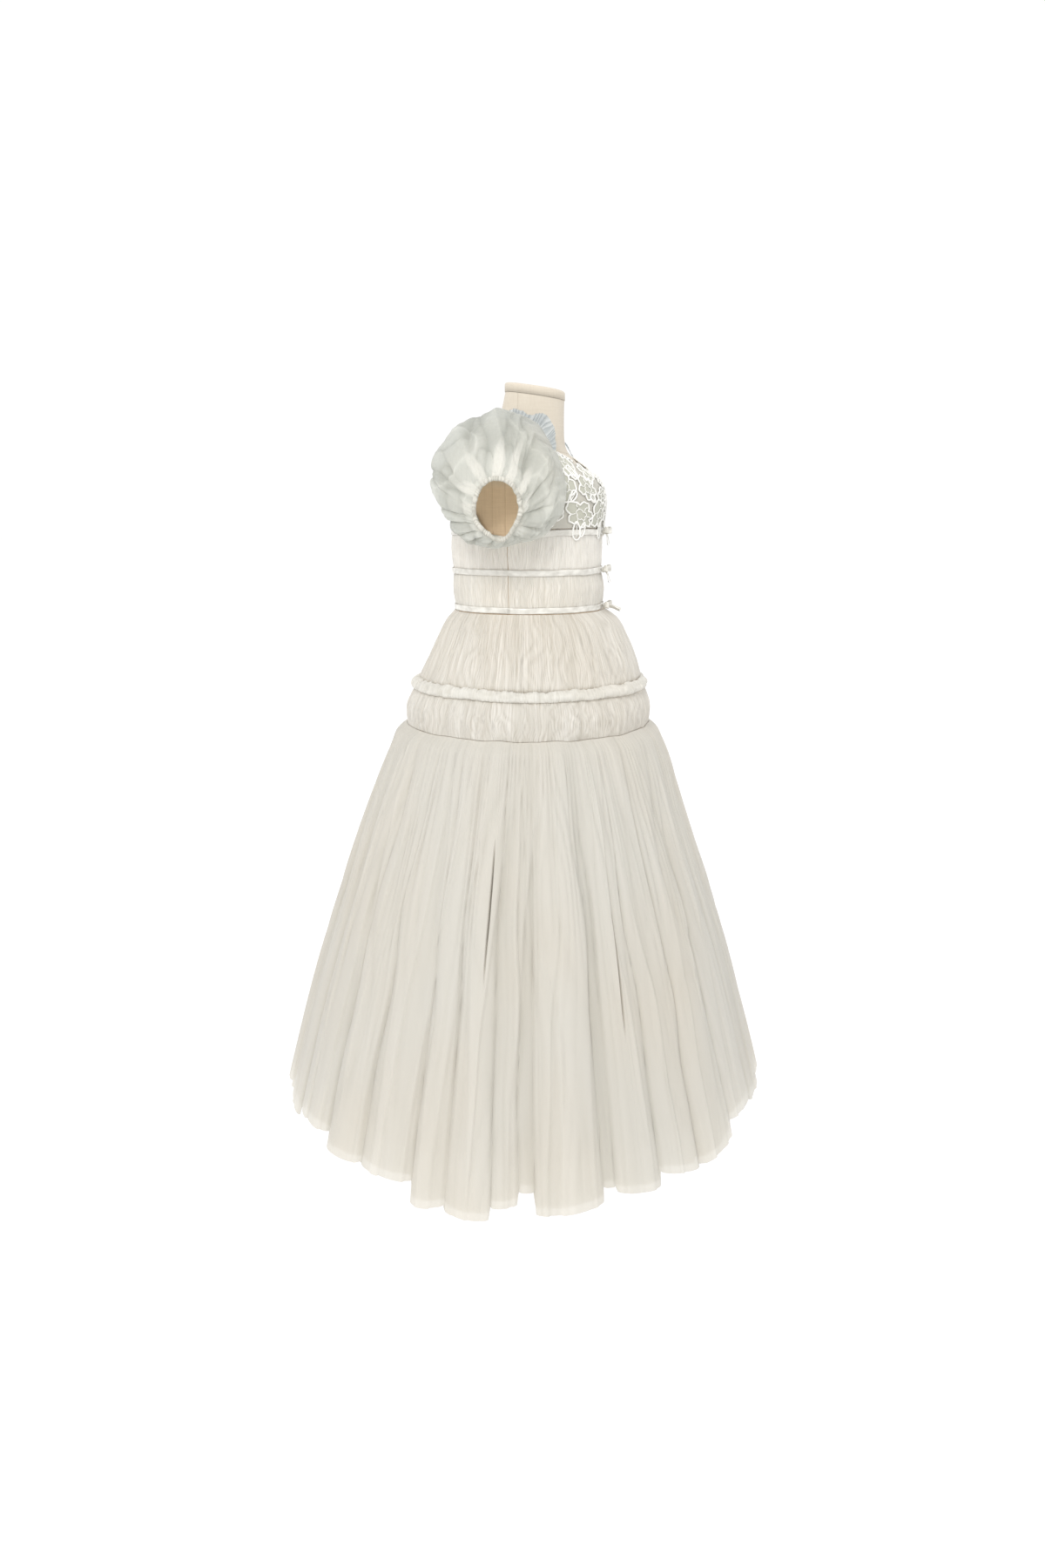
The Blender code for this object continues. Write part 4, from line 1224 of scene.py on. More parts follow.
@dataclass
class Hips:
    """The upper tier, the ruched roll under it and the lower tier."""

    count: int = 300
    depth: float = 0.0030
    gap: float = 0.0003
    tuck_reach: float = 0.0075
    tuck_depth: float = 0.0070
    roll_height: float = 0.0070
    roll_depth: float = 0.0066
    roll_sink: float = 0.0010
    columns: int = 1320

    def tier(self, lower: float, upper: float, rows: int, seed: int) -> Patch:
        """Return a tier's gathers, drawn in at its seams and tucked behind the roll.

        The puff rises quickly from the seams, and a gather's valley lies a depth times the puff
        inside its ridge. Near the roll the cloth dives behind it by a power of the way past its edge.
        """
        angle = full_turn(self.columns)
        share = shares(rows)
        height = lower + share * (upper - lower)
        puff = 0.35 + 0.65 * np.sin(math.pi * share) ** 0.5
        fine = gathers(angle, share, self.count, 1.5, seed)
        broad = gathers(angle, share, self.count // 4, 1.1, seed + 3)
        relief = fine * 0.6 + broad * 0.4
        past_edge = np.clip(1.0 - (np.abs(height - ROLL_CENTRE) - 0.0015) / self.tuck_reach, 0.0, 1.0)
        tuck = self.tuck_depth * past_edge ** 1.4
        radius = GOWN.radius(angle, height) - self.depth * puff * (1.0 - relief)
        radius = radius - tuck - seam_pinch(angle, height)
        # The gathers also paint shade in their valleys and highlight on their ridges through the relief.
        return Patch(ring_points(angle, height + seam_sway(angle, height), radius), relief=relief,
                     thread=ring_thread(angle, height))

    def roll(self) -> Patch:
        """Return the roll: an oval tube drawn in by upright ruches, wavy and drooping a little."""
        angle = full_turn(1200).T
        turn = full_turn(14)
        wave = ring_noise(angle, np.zeros_like(angle), 26, 1, 71)
        sway = ring_noise(angle, np.zeros_like(angle), 9, 1, 73)
        lump = 0.6 * ring_noise(angle, 0.5 + 0.5 * np.sin(turn), 110, 4, 77)
        lump = lump + 0.6 * ring_noise(angle, 0.5 + 0.5 * np.cos(turn), 220, 4, 79)
        ruche = gathers(angle, turn / TURN * 0.6 + 0.2, self.count, 1.3, 75)
        swell = 0.76 + 0.18 * ruche + 0.08 * wave + 0.26 * lump
        height = ROLL_CENTRE + 0.0011 * sway - 0.0004 + self.roll_height * np.sin(turn) * (
            0.86 + 0.12 * ruche + 0.08 * wave + 0.20 * lump
        ) + 0.0009 * lump
        radius = GOWN.radius(angle, height) - self.roll_sink + self.roll_depth * np.cos(turn) * swell
        points = ring_points(angle, height, radius)
        # The relief paints shade and highlight on the ruches and lumps.
        return Patch(
            points[:, ::-1], tube=True, relief=(0.55 + 0.35 * ruche + 0.25 * lump)[:, ::-1],
            thread=ring_thread(angle, height + turn * 0.004)[:, ::-1],
        )

    def build(self, wardrobe: Wardrobe) -> None:
        """Make and dress the two tiers and the roll."""
        for node, lower, upper, rows, seed, flat in (
            ("hip_tier_upper", ROLL_CENTRE + 0.0010, WAIST_SEAM - self.gap, 25, 81, (1.25, 0.098)),
            ("hip_tier_lower", SKIRT_SEAM + self.gap, ROLL_CENTRE - 0.0010, 19, 87, (1.40, 0.056)),
        ):
            sew(f"{node}_gathers", node, "tulle", self.tier(lower, upper, rows, seed),
                wardrobe.tier_tulle)
        sew("hip_roll_ruches", "hip_roll", "tulle", self.roll(), wardrobe.tier_tulle)


@dataclass(frozen=True)
class Fold:
    """One soft fold of the skirt: its width in degrees, its depth and its hem's drop at each end."""

    width: float
    depth: float
    start: float
    end: float


@dataclass(frozen=True)
class Slit:
    """One narrow shadowed crease of the skirt: its angle, the heights it runs between, its depth."""

    angle: float
    low: float
    high: float
    depth: float


@dataclass
class Skirt:
    """The long gathered skirt: two layers of tulle over a plain lining.

    The folds run from the back over the right side to the front, and are mirrored on the left.
    Each table of rows gives a value at shares of the way up from the hem to the seam.
    """

    folds: Sequence[Fold] = (
        Fold(12.0, 0.0100, -0.004, 0.004),
        Fold(12.0, 0.0130, 0.002, -0.006),
        Fold(14.0, 0.0090, -0.010, -0.004),
        Fold(14.5, 0.0140, -0.021, -0.026),
        Fold(11.5, 0.0120, -0.010, -0.018),
        Fold(13.3, 0.0110, -0.016, -0.020),
        Fold(7.7, 0.0130, 0.003, -0.003),
        Fold(9.6, 0.0130, 0.003, 0.006),
        Fold(5.7, 0.0090, -0.007, -0.012),
        Fold(3.4, 0.0040, -0.025, -0.025),
        Fold(14.3, 0.0140, -0.001, -0.005),
        Fold(2.6, 0.0040, -0.020, -0.018),
        Fold(10.4, 0.0110, -0.013, -0.002),
        Fold(10.5, 0.0100, -0.018, -0.001),
        Fold(12.9, 0.0130, -0.003, -0.009),
        Fold(13.6, 0.0110, -0.024, -0.020),
        Fold(12.0, 0.0090, -0.010, -0.006),
    )
    slits: Sequence[Slit] = (
        Slit(-88.5, 0.288, 0.445, 0.0100),
        Slit(-53.7, 0.222, 0.362, 0.0095),
        Slit(62.0, 0.300, 0.450, 0.0100),
        Slit(97.0, 0.240, 0.380, 0.0090),
        Slit(165.0, 0.280, 0.430, 0.0090),
        Slit(-152.0, 0.220, 0.360, 0.0080),
    )
    hem_mean: float = 0.0450
    hem_sway: float = 0.0115
    sink: float = 0.0080
    roundness: float = 0.34
    squareness: float = 0.15
    notch: float = 0.0030
    slit_width: float = 0.18
    slit_lean: float = 0.10
    growth: Sequence[tuple[float, float]] = (
        (0.0, 0.74), (0.3, 0.74), (0.62, 0.64), (0.91, 0.35), (0.976, 0.16), (1.0, 0.05),
    )
    panel_rows: Sequence[tuple[float, float]] = ((0.0, 1.0), (0.75, 1.0), (0.95, 0.4), (1.0, 0.0))
    pleat_rows: Sequence[tuple[float, float]] = (
        (0.0, 0.12), (0.35, 0.35), (0.75, 0.9), (0.95, 0.8), (1.0, 0.5),
    )
    broad_rows: Sequence[tuple[float, float]] = ((0.0, 0.45), (0.5, 1.0), (0.85, 0.9), (1.0, 0.0))
    sink_rows: Sequence[tuple[float, float]] = ((0.0, 0.35), (0.5, 0.9), (0.85, 1.0), (1.0, 0.55))
    under_gap: float = 0.0045
    lining_hem: float = 0.0750
    lining_top: float = 0.5470
    lining_insets: tuple[float, float] = (0.0060, 0.0260)
    lining_drop: float = 0.0080

    def fold_curve(self, angle: Array) -> tuple[Array, Array]:
        """Return the folds' relief and the hem's drop at an angle.

        A fold's relief is its depth times a half wave raised to a power below one, which rounds the
        ridge and sharpens the valley. Its hem runs straight from its drop at one end to its drop at
        the other, with a small notch where two folds meet.
        """
        mirrored = [Fold(fold.width, fold.depth, fold.end, fold.start) for fold in reversed(self.folds)]
        rows = list(self.folds) + mirrored
        widths = np.array([fold.width for fold in rows])
        edges = -math.pi + np.concatenate([[0.0], np.cumsum(widths / widths.sum() * TURN)])
        turned = wrapped(angle)
        row = np.clip(np.searchsorted(edges, turned, side="right") - 1, 0, len(rows) - 1)
        phase = np.clip((turned - edges[row]) / (edges[row + 1] - edges[row]), 0.0, 1.0)
        wave = np.sin(math.pi * phase)
        depth = np.array([fold.depth for fold in rows])[row]
        first = np.array([fold.start for fold in rows])[row]
        last = np.array([fold.end for fold in rows])[row]
        hem_drop = first + (last - first) * phase - self.notch * (1.0 - wave ** self.squareness)
        return depth * wave ** self.roundness, hem_drop

    def columns_at(self, count: int) -> Array:
        """Return angles round a full turn, closer together at the slits."""
        close = np.linspace(-1.3, 1.3, 27)
        beside = [math.radians(slit.angle) + np.radians(close) for slit in self.slits]
        evenly = np.arange(count) * TURN / count
        return np.unique(np.mod(np.concatenate([evenly] + beside), TURN).round(6))[None, :]

    def slit_depth(self, angle: Array, height: Array) -> Array:
        """Return how far the narrow creases draw the cloth in, deepest at their middle height."""
        total = np.zeros(np.broadcast(angle, height).shape)
        for slit in self.slits:
            middle = (slit.low + slit.high) / 2.0
            reach = (slit.high - slit.low) / 2.0
            along = np.clip(1.0 - ((height - middle) / reach) ** 2, 0.0, 1.0)
            lean = math.radians(slit.angle) + self.slit_lean * (height - middle)
            away = wrapped(angle - lean)
            total += slit.depth * along * np.exp(-(away / math.radians(self.slit_width)) ** 2)
        return total

    def layer(self, columns: int, rows: int, inset: float, hem_lift: float, seed: int) -> Patch:
        """Return one layer of tulle, gathered at the seam and falling in soft folds.

        The fine gathers of the seam fade within a hand's width, the pleats that they run into fade
        towards the hem, and the folds grow all the way down. The folds wander a little above the
        hem, where their places are fixed.
        """
        angle = self.columns_at(columns)
        share = 1.0 - (1.0 - shares(rows)) ** 1.25
        wander = np.radians(1.6) * ring_noise(angle, share, 40, 5, seed) * np.sin(math.pi * share * 0.55)
        relief, _ = self.fold_curve(angle + wander)
        _, drop = self.fold_curve(angle)
        hem = self.hem_mean + self.hem_sway * np.cos(2.0 * angle) - drop + hem_lift
        height = hem + share * (SKIRT_SEAM - 0.0003 - hem)
        grown = read_rows(share, self.growth)
        fade = np.clip((share - 0.62) / 0.38, 0.0, 1.0)
        fine = gathers(angle, share, 300, 1.6, seed + 11)
        pleat = gathers(angle, share, 118, 1.5, seed + 17)
        broad = gathers(angle, share, 52, 1.2, seed + 23)
        seam = np.clip((1.0 - share) / 0.03, 0.0, 1.0)
        panels = overlaps(angle + wander, share, 46, 0.9, 0.07, seed + 29)
        back_panels = overlaps(-angle - wander, share, 33, 0.9, 0.08, seed + 31)
        panel_fade = read_rows(share, self.panel_rows)
        lines = wrinkles(angle + wander, 0.3 * share, 60, 2, 0.06, seed + 37) * panel_fade
        small = (
            (0.0032 * panels + 0.0022 * back_panels - 0.0024) * panel_fade
            - 0.0008 * lines
            + 0.0017 * fine * fade ** 1.5
            + 0.0028 * pleat * read_rows(share, self.pleat_rows)
            + 0.0030 * broad * read_rows(share, self.broad_rows)
            - 0.0038 * read_rows(share, self.sink_rows)
        )
        out = (relief - self.sink) * grown + small * (0.35 + 0.65 * seam) - self.slit_depth(angle, height)
        bulge = 0.0016 * np.exp(-((SKIRT_SEAM - height - 0.012) / 0.009) ** 2)
        radius = GOWN.radius(angle, height) + out - inset + bulge - seam_pinch(angle, height)
        # Painted highlight and shade: lighter on the gather, panel and fold ridges, darker along the wrinkle
        # lines, in the fold valleys and in the slits.
        shine = 0.20 * fine * fade + 0.24 * pleat + 0.16 * broad
        shine = shine + (0.30 * panels + 0.24 * back_panels) * panel_fade
        shine = shine + 0.34 * np.clip(relief / 0.006, 0.0, 1.0) - 0.35 * lines
        shine = shine - 0.45 * np.exp(-(relief / 0.006) ** 2) * np.clip(grown / 0.64, 0.0, 1.0)
        shine = shine - 55.0 * self.slit_depth(angle, height)
        return Patch(ring_points(angle, height + seam_sway(angle, height), radius), relief=shine,
                     thread=ring_thread(angle + wander * 2.0, height))

    def lining(self) -> Patch:
        """Return the plain lining, which hangs inside the folds."""
        angle = full_turn(240)
        share = shares(24)
        height = self.lining_hem + (1.0 - (1.0 - share) ** 1.6) * (self.lining_top - self.lining_hem)
        inset = self.lining_insets[1] + share * (self.lining_insets[0] - self.lining_insets[1])
        wave = 0.0016 * ring_noise(angle, share, 34, 2, 91) * (1.0 - share)
        radius = GOWN.radius(angle, height) - inset - self.lining_drop + wave
        return Patch(ring_points(angle, height, radius))

    def build(self, wardrobe: Wardrobe) -> None:
        """Make and dress the two layers and the lining."""
        outer = self.layer(1320, 56, 0.0, 0.0, 101)
        under = self.layer(600, 34, self.under_gap, 0.006, 131)
        sew("skirt_outer_layer", "skirt", "tulle", outer, wardrobe.tulle)
        sew("skirt_under_layer", "skirt", "tulle", under, wardrobe.tulle)
        sew("skirt_lining_cloth", "skirt_lining", "skirt_lining", self.lining(),
            wardrobe.skirt_lining)


@dataclass
class Ribbons:
    """The three satin ribbons and the small bow on each."""

    width: float = 0.0070
    thickness: float = 0.0010
    stand_off: float = 0.0042
    loop_reach: float = 0.0165
    loop_forward: float = 0.0095
    tail_reach: float = 0.0095
    tail_width: float = 0.0050
    places: Sequence[tuple[str, float, float, float]] = (
        ("upper", 0.7885, 0.0060, 0.0150),
        ("middle", MIDDLE_SEAM, 0.0080, 0.0140),
        ("waist", 0.6975, 0.0200, 0.0040),
    )

    def section(self, width: Array | float, thickness: float, sides: int = 14) -> tuple[Array, Array]:
        """Return a flat ribbon's rounded outline, across its width and through its thickness."""
        turn = np.arange(sides) * TURN / sides
        across = np.sign(np.cos(turn)) * np.abs(np.cos(turn)) ** 0.5
        through = np.sign(np.sin(turn)) * np.abs(np.sin(turn)) ** 0.7
        return np.asarray(width)[..., None] / 2.0 * across, through * thickness / 2.0

    def band(self, centre: float, seed: int, dip: float) -> Patch:
        """Return a ribbon round the body, with slight ripples in its edges."""
        angle = full_turn(540).T
        across, through = self.section(self.width, self.thickness, 10)
        flat = np.zeros_like(angle)
        sway = 0.0004 * ring_noise(angle, flat, 22, 1, seed)
        ripple = 0.00035 * ring_noise(angle, flat, 90, 1, seed + 1)
        edge = across[None, :] / (self.width / 2.0)
        height = centre + sway + across[None, :] - dip * underarm_dip(angle)
        stand_off = self.stand_off + self.thickness / 2.0 + through[None, :] + ripple * (1.0 + 0.8 * edge)
        points = FORM.points(angle, height, stand_off)
        return Patch(points, tube=True, thread=ring_thread(angle, height, 0.1))

    def stitches(self, centre: float, dip: float) -> list[Patch]:
        """Return the upright stitches that join a ribbon at each side seam."""
        made = []
        way = np.linspace(-0.42, 0.42, 7)
        for seam in (-math.pi / 2.0, math.pi / 2.0):
            for shift in (-0.012, 0.0, 0.013):
                angle = np.full_like(way, seam + shift)
                height = centre + way * self.width - dip * underarm_dip(angle)
                path = FORM.points(angle, height, self.stand_off + self.thickness + 0.0001)
                made.append(Patch(swept_tube(path, 0.00028, 6, False)))
        return made

    def strip(self, path: Array, across: Array, width: Array, thickness: float) -> Patch:
        """Return a flat ribbon along a path, from its width directions and its widths."""
        along = np.gradient(path, axis=0)
        normal = np.cross(along, across)
        normal = normal / np.maximum(np.linalg.norm(normal, axis=1, keepdims=True), 1e-12)
        sideways, through = self.section(width, thickness)
        points = (
            path[:, None, :]
            + across[:, None, :] * sideways[..., None]
            + normal[:, None, :] * np.broadcast_to(through, sideways.shape)[..., None]
        )
        return Patch(points)

    def loops(self, front: float, height: float) -> list[Patch]:
        """Return a bow's two loops and its knot.

        A loop runs out along the front, round its far end and back behind, narrow at the knot and
        widest at two thirds of its reach.
        """
        made = []
        way = np.linspace(0.0, 1.0, 61)
        out = np.sin(math.pi * way) ** 0.75
        gape = np.sin(TURN * way)
        for side in Side:
            path = np.stack([
                side.value * (0.0016 + (self.loop_reach - 0.0018) * out),
                -(front + 0.0028 + (self.loop_forward - 0.0030) * out ** 1.5 + 0.0024 * gape * out),
                height + 0.0022 * out - 0.0006 * gape,
            ], axis=-1)
            up = np.stack([side.value * -0.10 * out, 0.12 * gape, np.ones_like(way)], axis=-1)
            up = up / np.linalg.norm(up, axis=1, keepdims=True)
            width = 0.0034 + 0.0042 * np.sin(math.pi * np.clip(out, 0.0, 1.0) ** 1.4 * 0.62)
            made.append(self.strip(path, up, width, 0.0006))
        turn = full_turn(28)
        rise = np.linspace(-math.pi / 2.0, math.pi / 2.0, 15)[:, None]
        pinch = 1.0 + 0.06 * np.cos(5.0 * turn)
        knot = np.stack([
            0.0027 * np.cos(rise) * np.sin(turn) * pinch,
            -(front + 0.0026) - 0.0024 * np.cos(rise) * np.cos(turn) * pinch,
            height + 0.0036 * np.sin(rise) + np.zeros_like(turn),
        ], axis=-1)
        made.append(Patch(knot))
        return made

    def tails(self, front: float, height: float, forward: float, drop: float) -> list[Patch]:
        """Return a bow's two tails, which spread forwards and hang."""
        made = []
        way = np.linspace(0.0, 1.0, 31)
        for side in Side:
            curl = np.sin(math.pi * way * 1.4)
            path = np.stack([
                side.value * self.tail_reach * way,
                -(front + 0.0036 + forward * way + 0.0008 * curl),
                height - drop * way ** 1.2 + 0.0006 * curl,
            ], axis=-1)
            lean = 0.35 + 0.45 * way
            across = np.stack([side.value * lean, 0.25 * way, 1.0 - 0.3 * way], axis=-1)
            across = across / np.linalg.norm(across, axis=1, keepdims=True)
            width = 0.0032 + (self.tail_width - 0.0032) * np.clip(way * 3.0, 0.0, 1.0)
            made.append(self.strip(path, across, width, 0.0006))
        return made

    def build(self, wardrobe: Wardrobe) -> dict[str, list[Any]]:
        """Make and dress the ribbons, loops and tails.

        Returns:
            The pieces of each ribbon by its place.
        """
        made: dict[str, list[Any]] = {}
        for number, (place, centre, forward, drop) in enumerate(self.places):
            dip = 1.0 if place == "upper" else 0.0
            band = self.band(centre, 201 + number * 7, dip)
            piece = make_piece(
                f"ribbon_{place}_satin", [band] + self.stitches(centre, dip), wardrobe.satin_ribbon
            )
            dress_piece(piece, "satin_ribbon", f"ribbon_{place}")
            front = float(FORM.radius(np.array(0.0), np.array(centre))) + self.stand_off + self.thickness
            loops = make_piece(f"bow_{place}_satin", self.loops(front, centre), wardrobe.satin_ribbon)
            dress_piece(loops, "satin_ribbon", f"bow_{place}_loops")
            tails = make_piece(
                f"bow_{place}_ends", self.tails(front, centre, forward, drop), wardrobe.satin_ribbon
            )
            dress_piece(tails, "satin_ribbon", f"bow_{place}_tails")
            made[place] = [piece, loops, tails]
        return made


@dataclass(frozen=True)
class SleeveSection:
    """One slanting section of the left sleeve, from the armhole to the cuff.

    It holds its top and bottom points, out from the middle and up, its reach to the front and the
    back, and its share of the folds' depth.
    """

    top_out: float
    top_height: float
    bottom_out: float
    bottom_height: float
    front: float
    back: float
    fold: float


@dataclass(frozen=True)
class Outline:
    """A sleeve's share of its oval at one turn: at the armhole, and at each side's full puff."""

    turn: float
    armhole: float
    right: float
    left: float


@dataclass(frozen=True)
class Crease:
    """One crease along a sleeve: its turn from the top over the front, its shares, its depth."""

    turn: float
    start: float
    end: float
    depth: float
    width: float
    slant: float


@dataclass
class Sleeve:
    """A puff sleeve of sheer tulle over a cream puff, with its ruched cuff and its frill."""

    side: Side
    sections: Sequence[SleeveSection] = (
        SleeveSection(0.0520, 0.9160, 0.1120, 0.7840, 0.0690, 0.0650, 0.10),
        SleeveSection(0.0700, 0.9255, 0.1260, 0.7790, 0.0670, 0.0740, 0.60),
        SleeveSection(0.0980, 0.9270, 0.1450, 0.7755, 0.0610, 0.0810, 1.00),
        SleeveSection(0.1260, 0.9120, 0.1570, 0.7750, 0.0585, 0.0800, 1.00),
        SleeveSection(0.1500, 0.8880, 0.1660, 0.7765, 0.0510, 0.0670, 0.80),
        SleeveSection(0.1680, 0.8630, 0.1735, 0.7795, 0.0410, 0.0410, 0.45),
        SleeveSection(0.1765, 0.8476, 0.1765, 0.7829, 0.0311, 0.0216, 0.10),
    )
    outline: Sequence[Outline] = (
        Outline(0.0, 1.00, 0.98, 0.98),
        Outline(20.0, 0.97, 0.96, 0.94),
        Outline(40.0, 0.88, 0.85, 0.80),
        Outline(52.0, 0.83, 0.88, 0.78),
        Outline(64.0, 0.80, 0.93, 0.81),
        Outline(76.0, 0.84, 0.95, 0.90),
        Outline(90.0, 0.93, 0.97, 0.98),
        Outline(105.0, 1.00, 1.06, 1.04),
        Outline(118.0, 1.00, 1.17, 1.13),
        Outline(132.0, 1.00, 1.14, 1.15),
        Outline(150.0, 1.00, 1.07, 1.06),
        Outline(170.0, 1.00, 1.01, 1.02),
        Outline(205.0, 1.00, 1.00, 0.99),
        Outline(222.0, 1.00, 0.97, 0.98),
        Outline(240.0, 1.00, 0.89, 0.91),
        Outline(258.0, 1.00, 0.96, 0.95),
        Outline(272.0, 1.00, 1.01, 1.01),
        Outline(284.0, 1.00, 1.04, 1.02),
        Outline(302.0, 1.00, 0.96, 0.97),
        Outline(325.0, 1.00, 0.98, 0.99),
    )
    armhole_weights: Sequence[float] = (1.0, 0.4, 0.0, 0.0, 0.0, 0.0, 0.0)
    puff_weights: Sequence[float] = (0.0, 0.6, 1.0, 1.0, 0.85, 0.45, 0.0)
    creases: Sequence[Crease] = (
        Crease(128.0, 0.45, 0.99, 0.0075, 2.2, -16.0),
        Crease(146.0, 0.55, 1.00, 0.0065, 2.4, 14.0),
        Crease(163.0, 0.40, 0.97, 0.0063, 2.2, -10.0),
        Crease(181.0, 0.55, 1.00, 0.0081, 2.0, 18.0),
        Crease(199.0, 0.40, 0.99, 0.0063, 2.2, 26.0),
        Crease(216.0, 0.50, 0.99, 0.0075, 2.0, 18.0),
        Crease(233.0, 0.35, 0.97, 0.0060, 2.4, 22.0),
        Crease(250.0, 0.45, 0.99, 0.0070, 2.2, 14.0),
        Crease(276.0, 0.30, 0.86, 0.0050, 3.0, -14.0),
        Crease(300.0, 0.45, 0.95, 0.0036, 3.0, -16.0),
        Crease(335.0, 0.25, 0.75, 0.0036, 3.0, -12.0),
        Crease(14.0, 0.25, 0.70, 0.0036, 3.0, 10.0),
        Crease(50.0, 0.30, 0.80, 0.0042, 3.0, 14.0),
        Crease(84.0, 0.40, 0.95, 0.0045, 2.8, 12.0),
        Crease(106.0, 0.50, 0.99, 0.0069, 2.2, -12.0),
    )
    wedges: Sequence[Crease] = (
        Crease(356.0, 0.58, 0.99, 1.00, 14.0, 12.0),
        Crease(27.0, 0.50, 0.99, 1.00, 13.0, 14.0),
        Crease(60.0, 0.62, 0.99, 0.90, 11.0, 10.0),
        Crease(92.0, 0.76, 0.99, 0.70, 11.0, -8.0),
        Crease(124.0, 0.84, 0.99, 0.50, 10.0, 6.0),
        Crease(176.0, 0.82, 0.99, 0.45, 12.0, 6.0),
        Crease(222.0, 0.84, 0.99, 0.45, 12.0, 10.0),
        Crease(268.0, 0.82, 0.99, 0.50, 13.0, -6.0),
        Crease(300.0, 0.76, 0.99, 0.60, 13.0, -10.0),
        Crease(328.0, 0.68, 0.99, 0.75, 12.0, -6.0),
    )
    fold_count: int = 12
    fold_depth: float = 0.0045
    egg_start: float = 4.4
    egg_reach: float = 1.6
    egg_changes: Sequence[tuple[float, float, float]] = (
        (163.0, 16.0, 0.05), (214.0, 24.0, -0.10), (128.0, 20.0, -0.05),
    )
    left_tuck: tuple[float, float, float] = (56.0, 24.0, 0.15)
    inner_rows: Sequence[tuple[float, float]] = (
        (1.2, 0.0110), (2.0, 0.0100), (3.0, 0.0088), (4.0, 0.0068), (5.0, 0.0040), (5.7, 0.0024),
    )
    inner_drop: float = 0.0042
    inner_drop_width: float = 0.7
    inner_drop_end: float = 3.4
    cuff_radius: float = 0.0026
    cuff_ruche: float = 0.12
    frill_start: float = -62.0
    frill_end: float = 86.0
    frill_reach: float = 0.0125
    frill_wave: float = 0.0024
    frill_waves: float = 7.0
    frill_upright: float = 0.95
    frill_lean: float = 0.20
    frill_taper: tuple[float, float] = (34.0, 58.0)
    frill_front_shares: tuple[float, float] = (0.12, 0.12)
    frill_shifts: tuple[float, float] = (0.0, -60.0)
    frill_fans: tuple[float, float] = (0.60, 0.0)
    frill_rises: Sequence[tuple[float, float, float]] = ((24.0, 0.22, 1.0), (-7.0, 0.17, 1.1))
    gap: float = 0.0003

    def column(self, name: str, place: Array) -> Array:
        """Read one size of the sections by a smooth curve, counted in sections."""
        values = np.array([getattr(row, name) for row in self.sections])
        return smooth_curve(place, np.arange(len(self.sections), dtype=float), values)

    def outline_share(self, turn: Array, name: str) -> Array:
        """Return the share of the oval that the sleeve fills at a turn."""
        turns = np.radians([row.turn for row in self.outline])
        return np.interp(turn, turns, [getattr(row, name) for row in self.outline], period=TURN)

    def shape(self, place: Array, turn: Array) -> Array:
        """Return how the rings differ from ovals, from the armhole's way to the puff's."""
        rows = np.arange(len(self.sections), dtype=float)
        armhole = smooth_curve(place, rows, np.array(self.armhole_weights))
        puff = smooth_curve(place, rows, np.array(self.puff_weights))
        centre, width, depth = self.left_tuck
        away = wrapped(turn - math.radians(centre))
        tuck = np.zeros_like(turn)
        if self.side is Side.LEFT:
            tuck = depth * np.exp(-(away / math.radians(width)) ** 2)
        return (
            1.0 - (armhole + 0.5 * puff) * tuck
            + armhole * (self.outline_share(turn, "armhole") - 1.0)
            + puff * (self.outline_share(turn, self.side.label) - 1.0)
        )

    def egg(self, turn: Array) -> Array:
        """Return how the cuff's opening differs from an oval: pointed below and cut in beside it."""
        total = np.zeros_like(turn)
        for centre, width, change in self.egg_changes:
            away = wrapped(turn - math.radians(centre))
            total = total + change * np.exp(-(away / math.radians(width)) ** 2)
        return total

    def rings(self, place: Array, turn: Array, spread: Array) -> Array:
        """Return rings in their own slanting planes.

        A ring runs from the top over the front to the bottom and back. It is an oval between the
        top and bottom points, moved out by a spread.

        Args:
            place: the place along the sleeve, counted in sections, as a column.
            turn: the turn round it, as a row.
            spread: how far out each point is moved.

        Returns:
            The points of the left sleeve.
        """
        top_out, top_height = self.column("top_out", place), self.column("top_height", place)
        low_out, low_height = self.column("bottom_out", place), self.column("bottom_height", place)
        front, back = self.column("front", place), self.column("back", place)
        up_out, up_height = (top_out - low_out) / 2.0, (top_height - low_height) / 2.0
        reach = np.hypot(up_out, up_height)
        near_cuff = np.clip(place - self.egg_start, 0.0, self.egg_reach) / self.egg_reach
        shape = self.shape(place, turn) + near_cuff * self.egg(turn)
        upward = np.cos(turn) * (reach * shape + spread)
        forward = np.sin(turn) * ((front + back) / 2.0 * shape + spread)
        return np.stack([
            (top_out + low_out) / 2.0 + upward * up_out / reach,
            (back - front) / 2.0 - forward,
            (top_height + low_height) / 2.0 + upward * up_height / reach,
        ], axis=-1)

    def sided(self, patch: Patch) -> Patch:
        """Return a patch on this sleeve's side, with its faces still outwards."""
        flip = np.array([self.side.value, 1.0, 1.0])
        step = -1 if self.side is Side.LEFT else 1
        relief = patch.relief[:, ::step] if patch.relief is not None else None
        cover = patch.cover[:, ::step] if patch.cover is not None else None
        thread = patch.thread[:, ::step] * flip if patch.thread is not None else None
        return Patch((patch.points * flip)[:, ::step], patch.closed, patch.tube, relief, thread, cover)

    def crease_depth(self, turn: Array, share: Array) -> Array:
        """Return how far the creases draw the cloth in."""
        total = np.zeros(np.broadcast(turn, share).shape)
        for crease in self.creases:
            middle = (crease.start + crease.end) / 2.0
            reach = (crease.end - crease.start) / 2.0
            along = np.clip(1.0 - ((share - middle) / reach) ** 2, 0.0, 1.0)
            centre = math.radians(crease.turn) + math.radians(crease.slant) * (share - middle)
            away = wrapped(turn - centre)
            width = math.radians(crease.width)
            total += crease.depth * along * np.exp(-np.abs(away / width) ** 1.4)
        return total

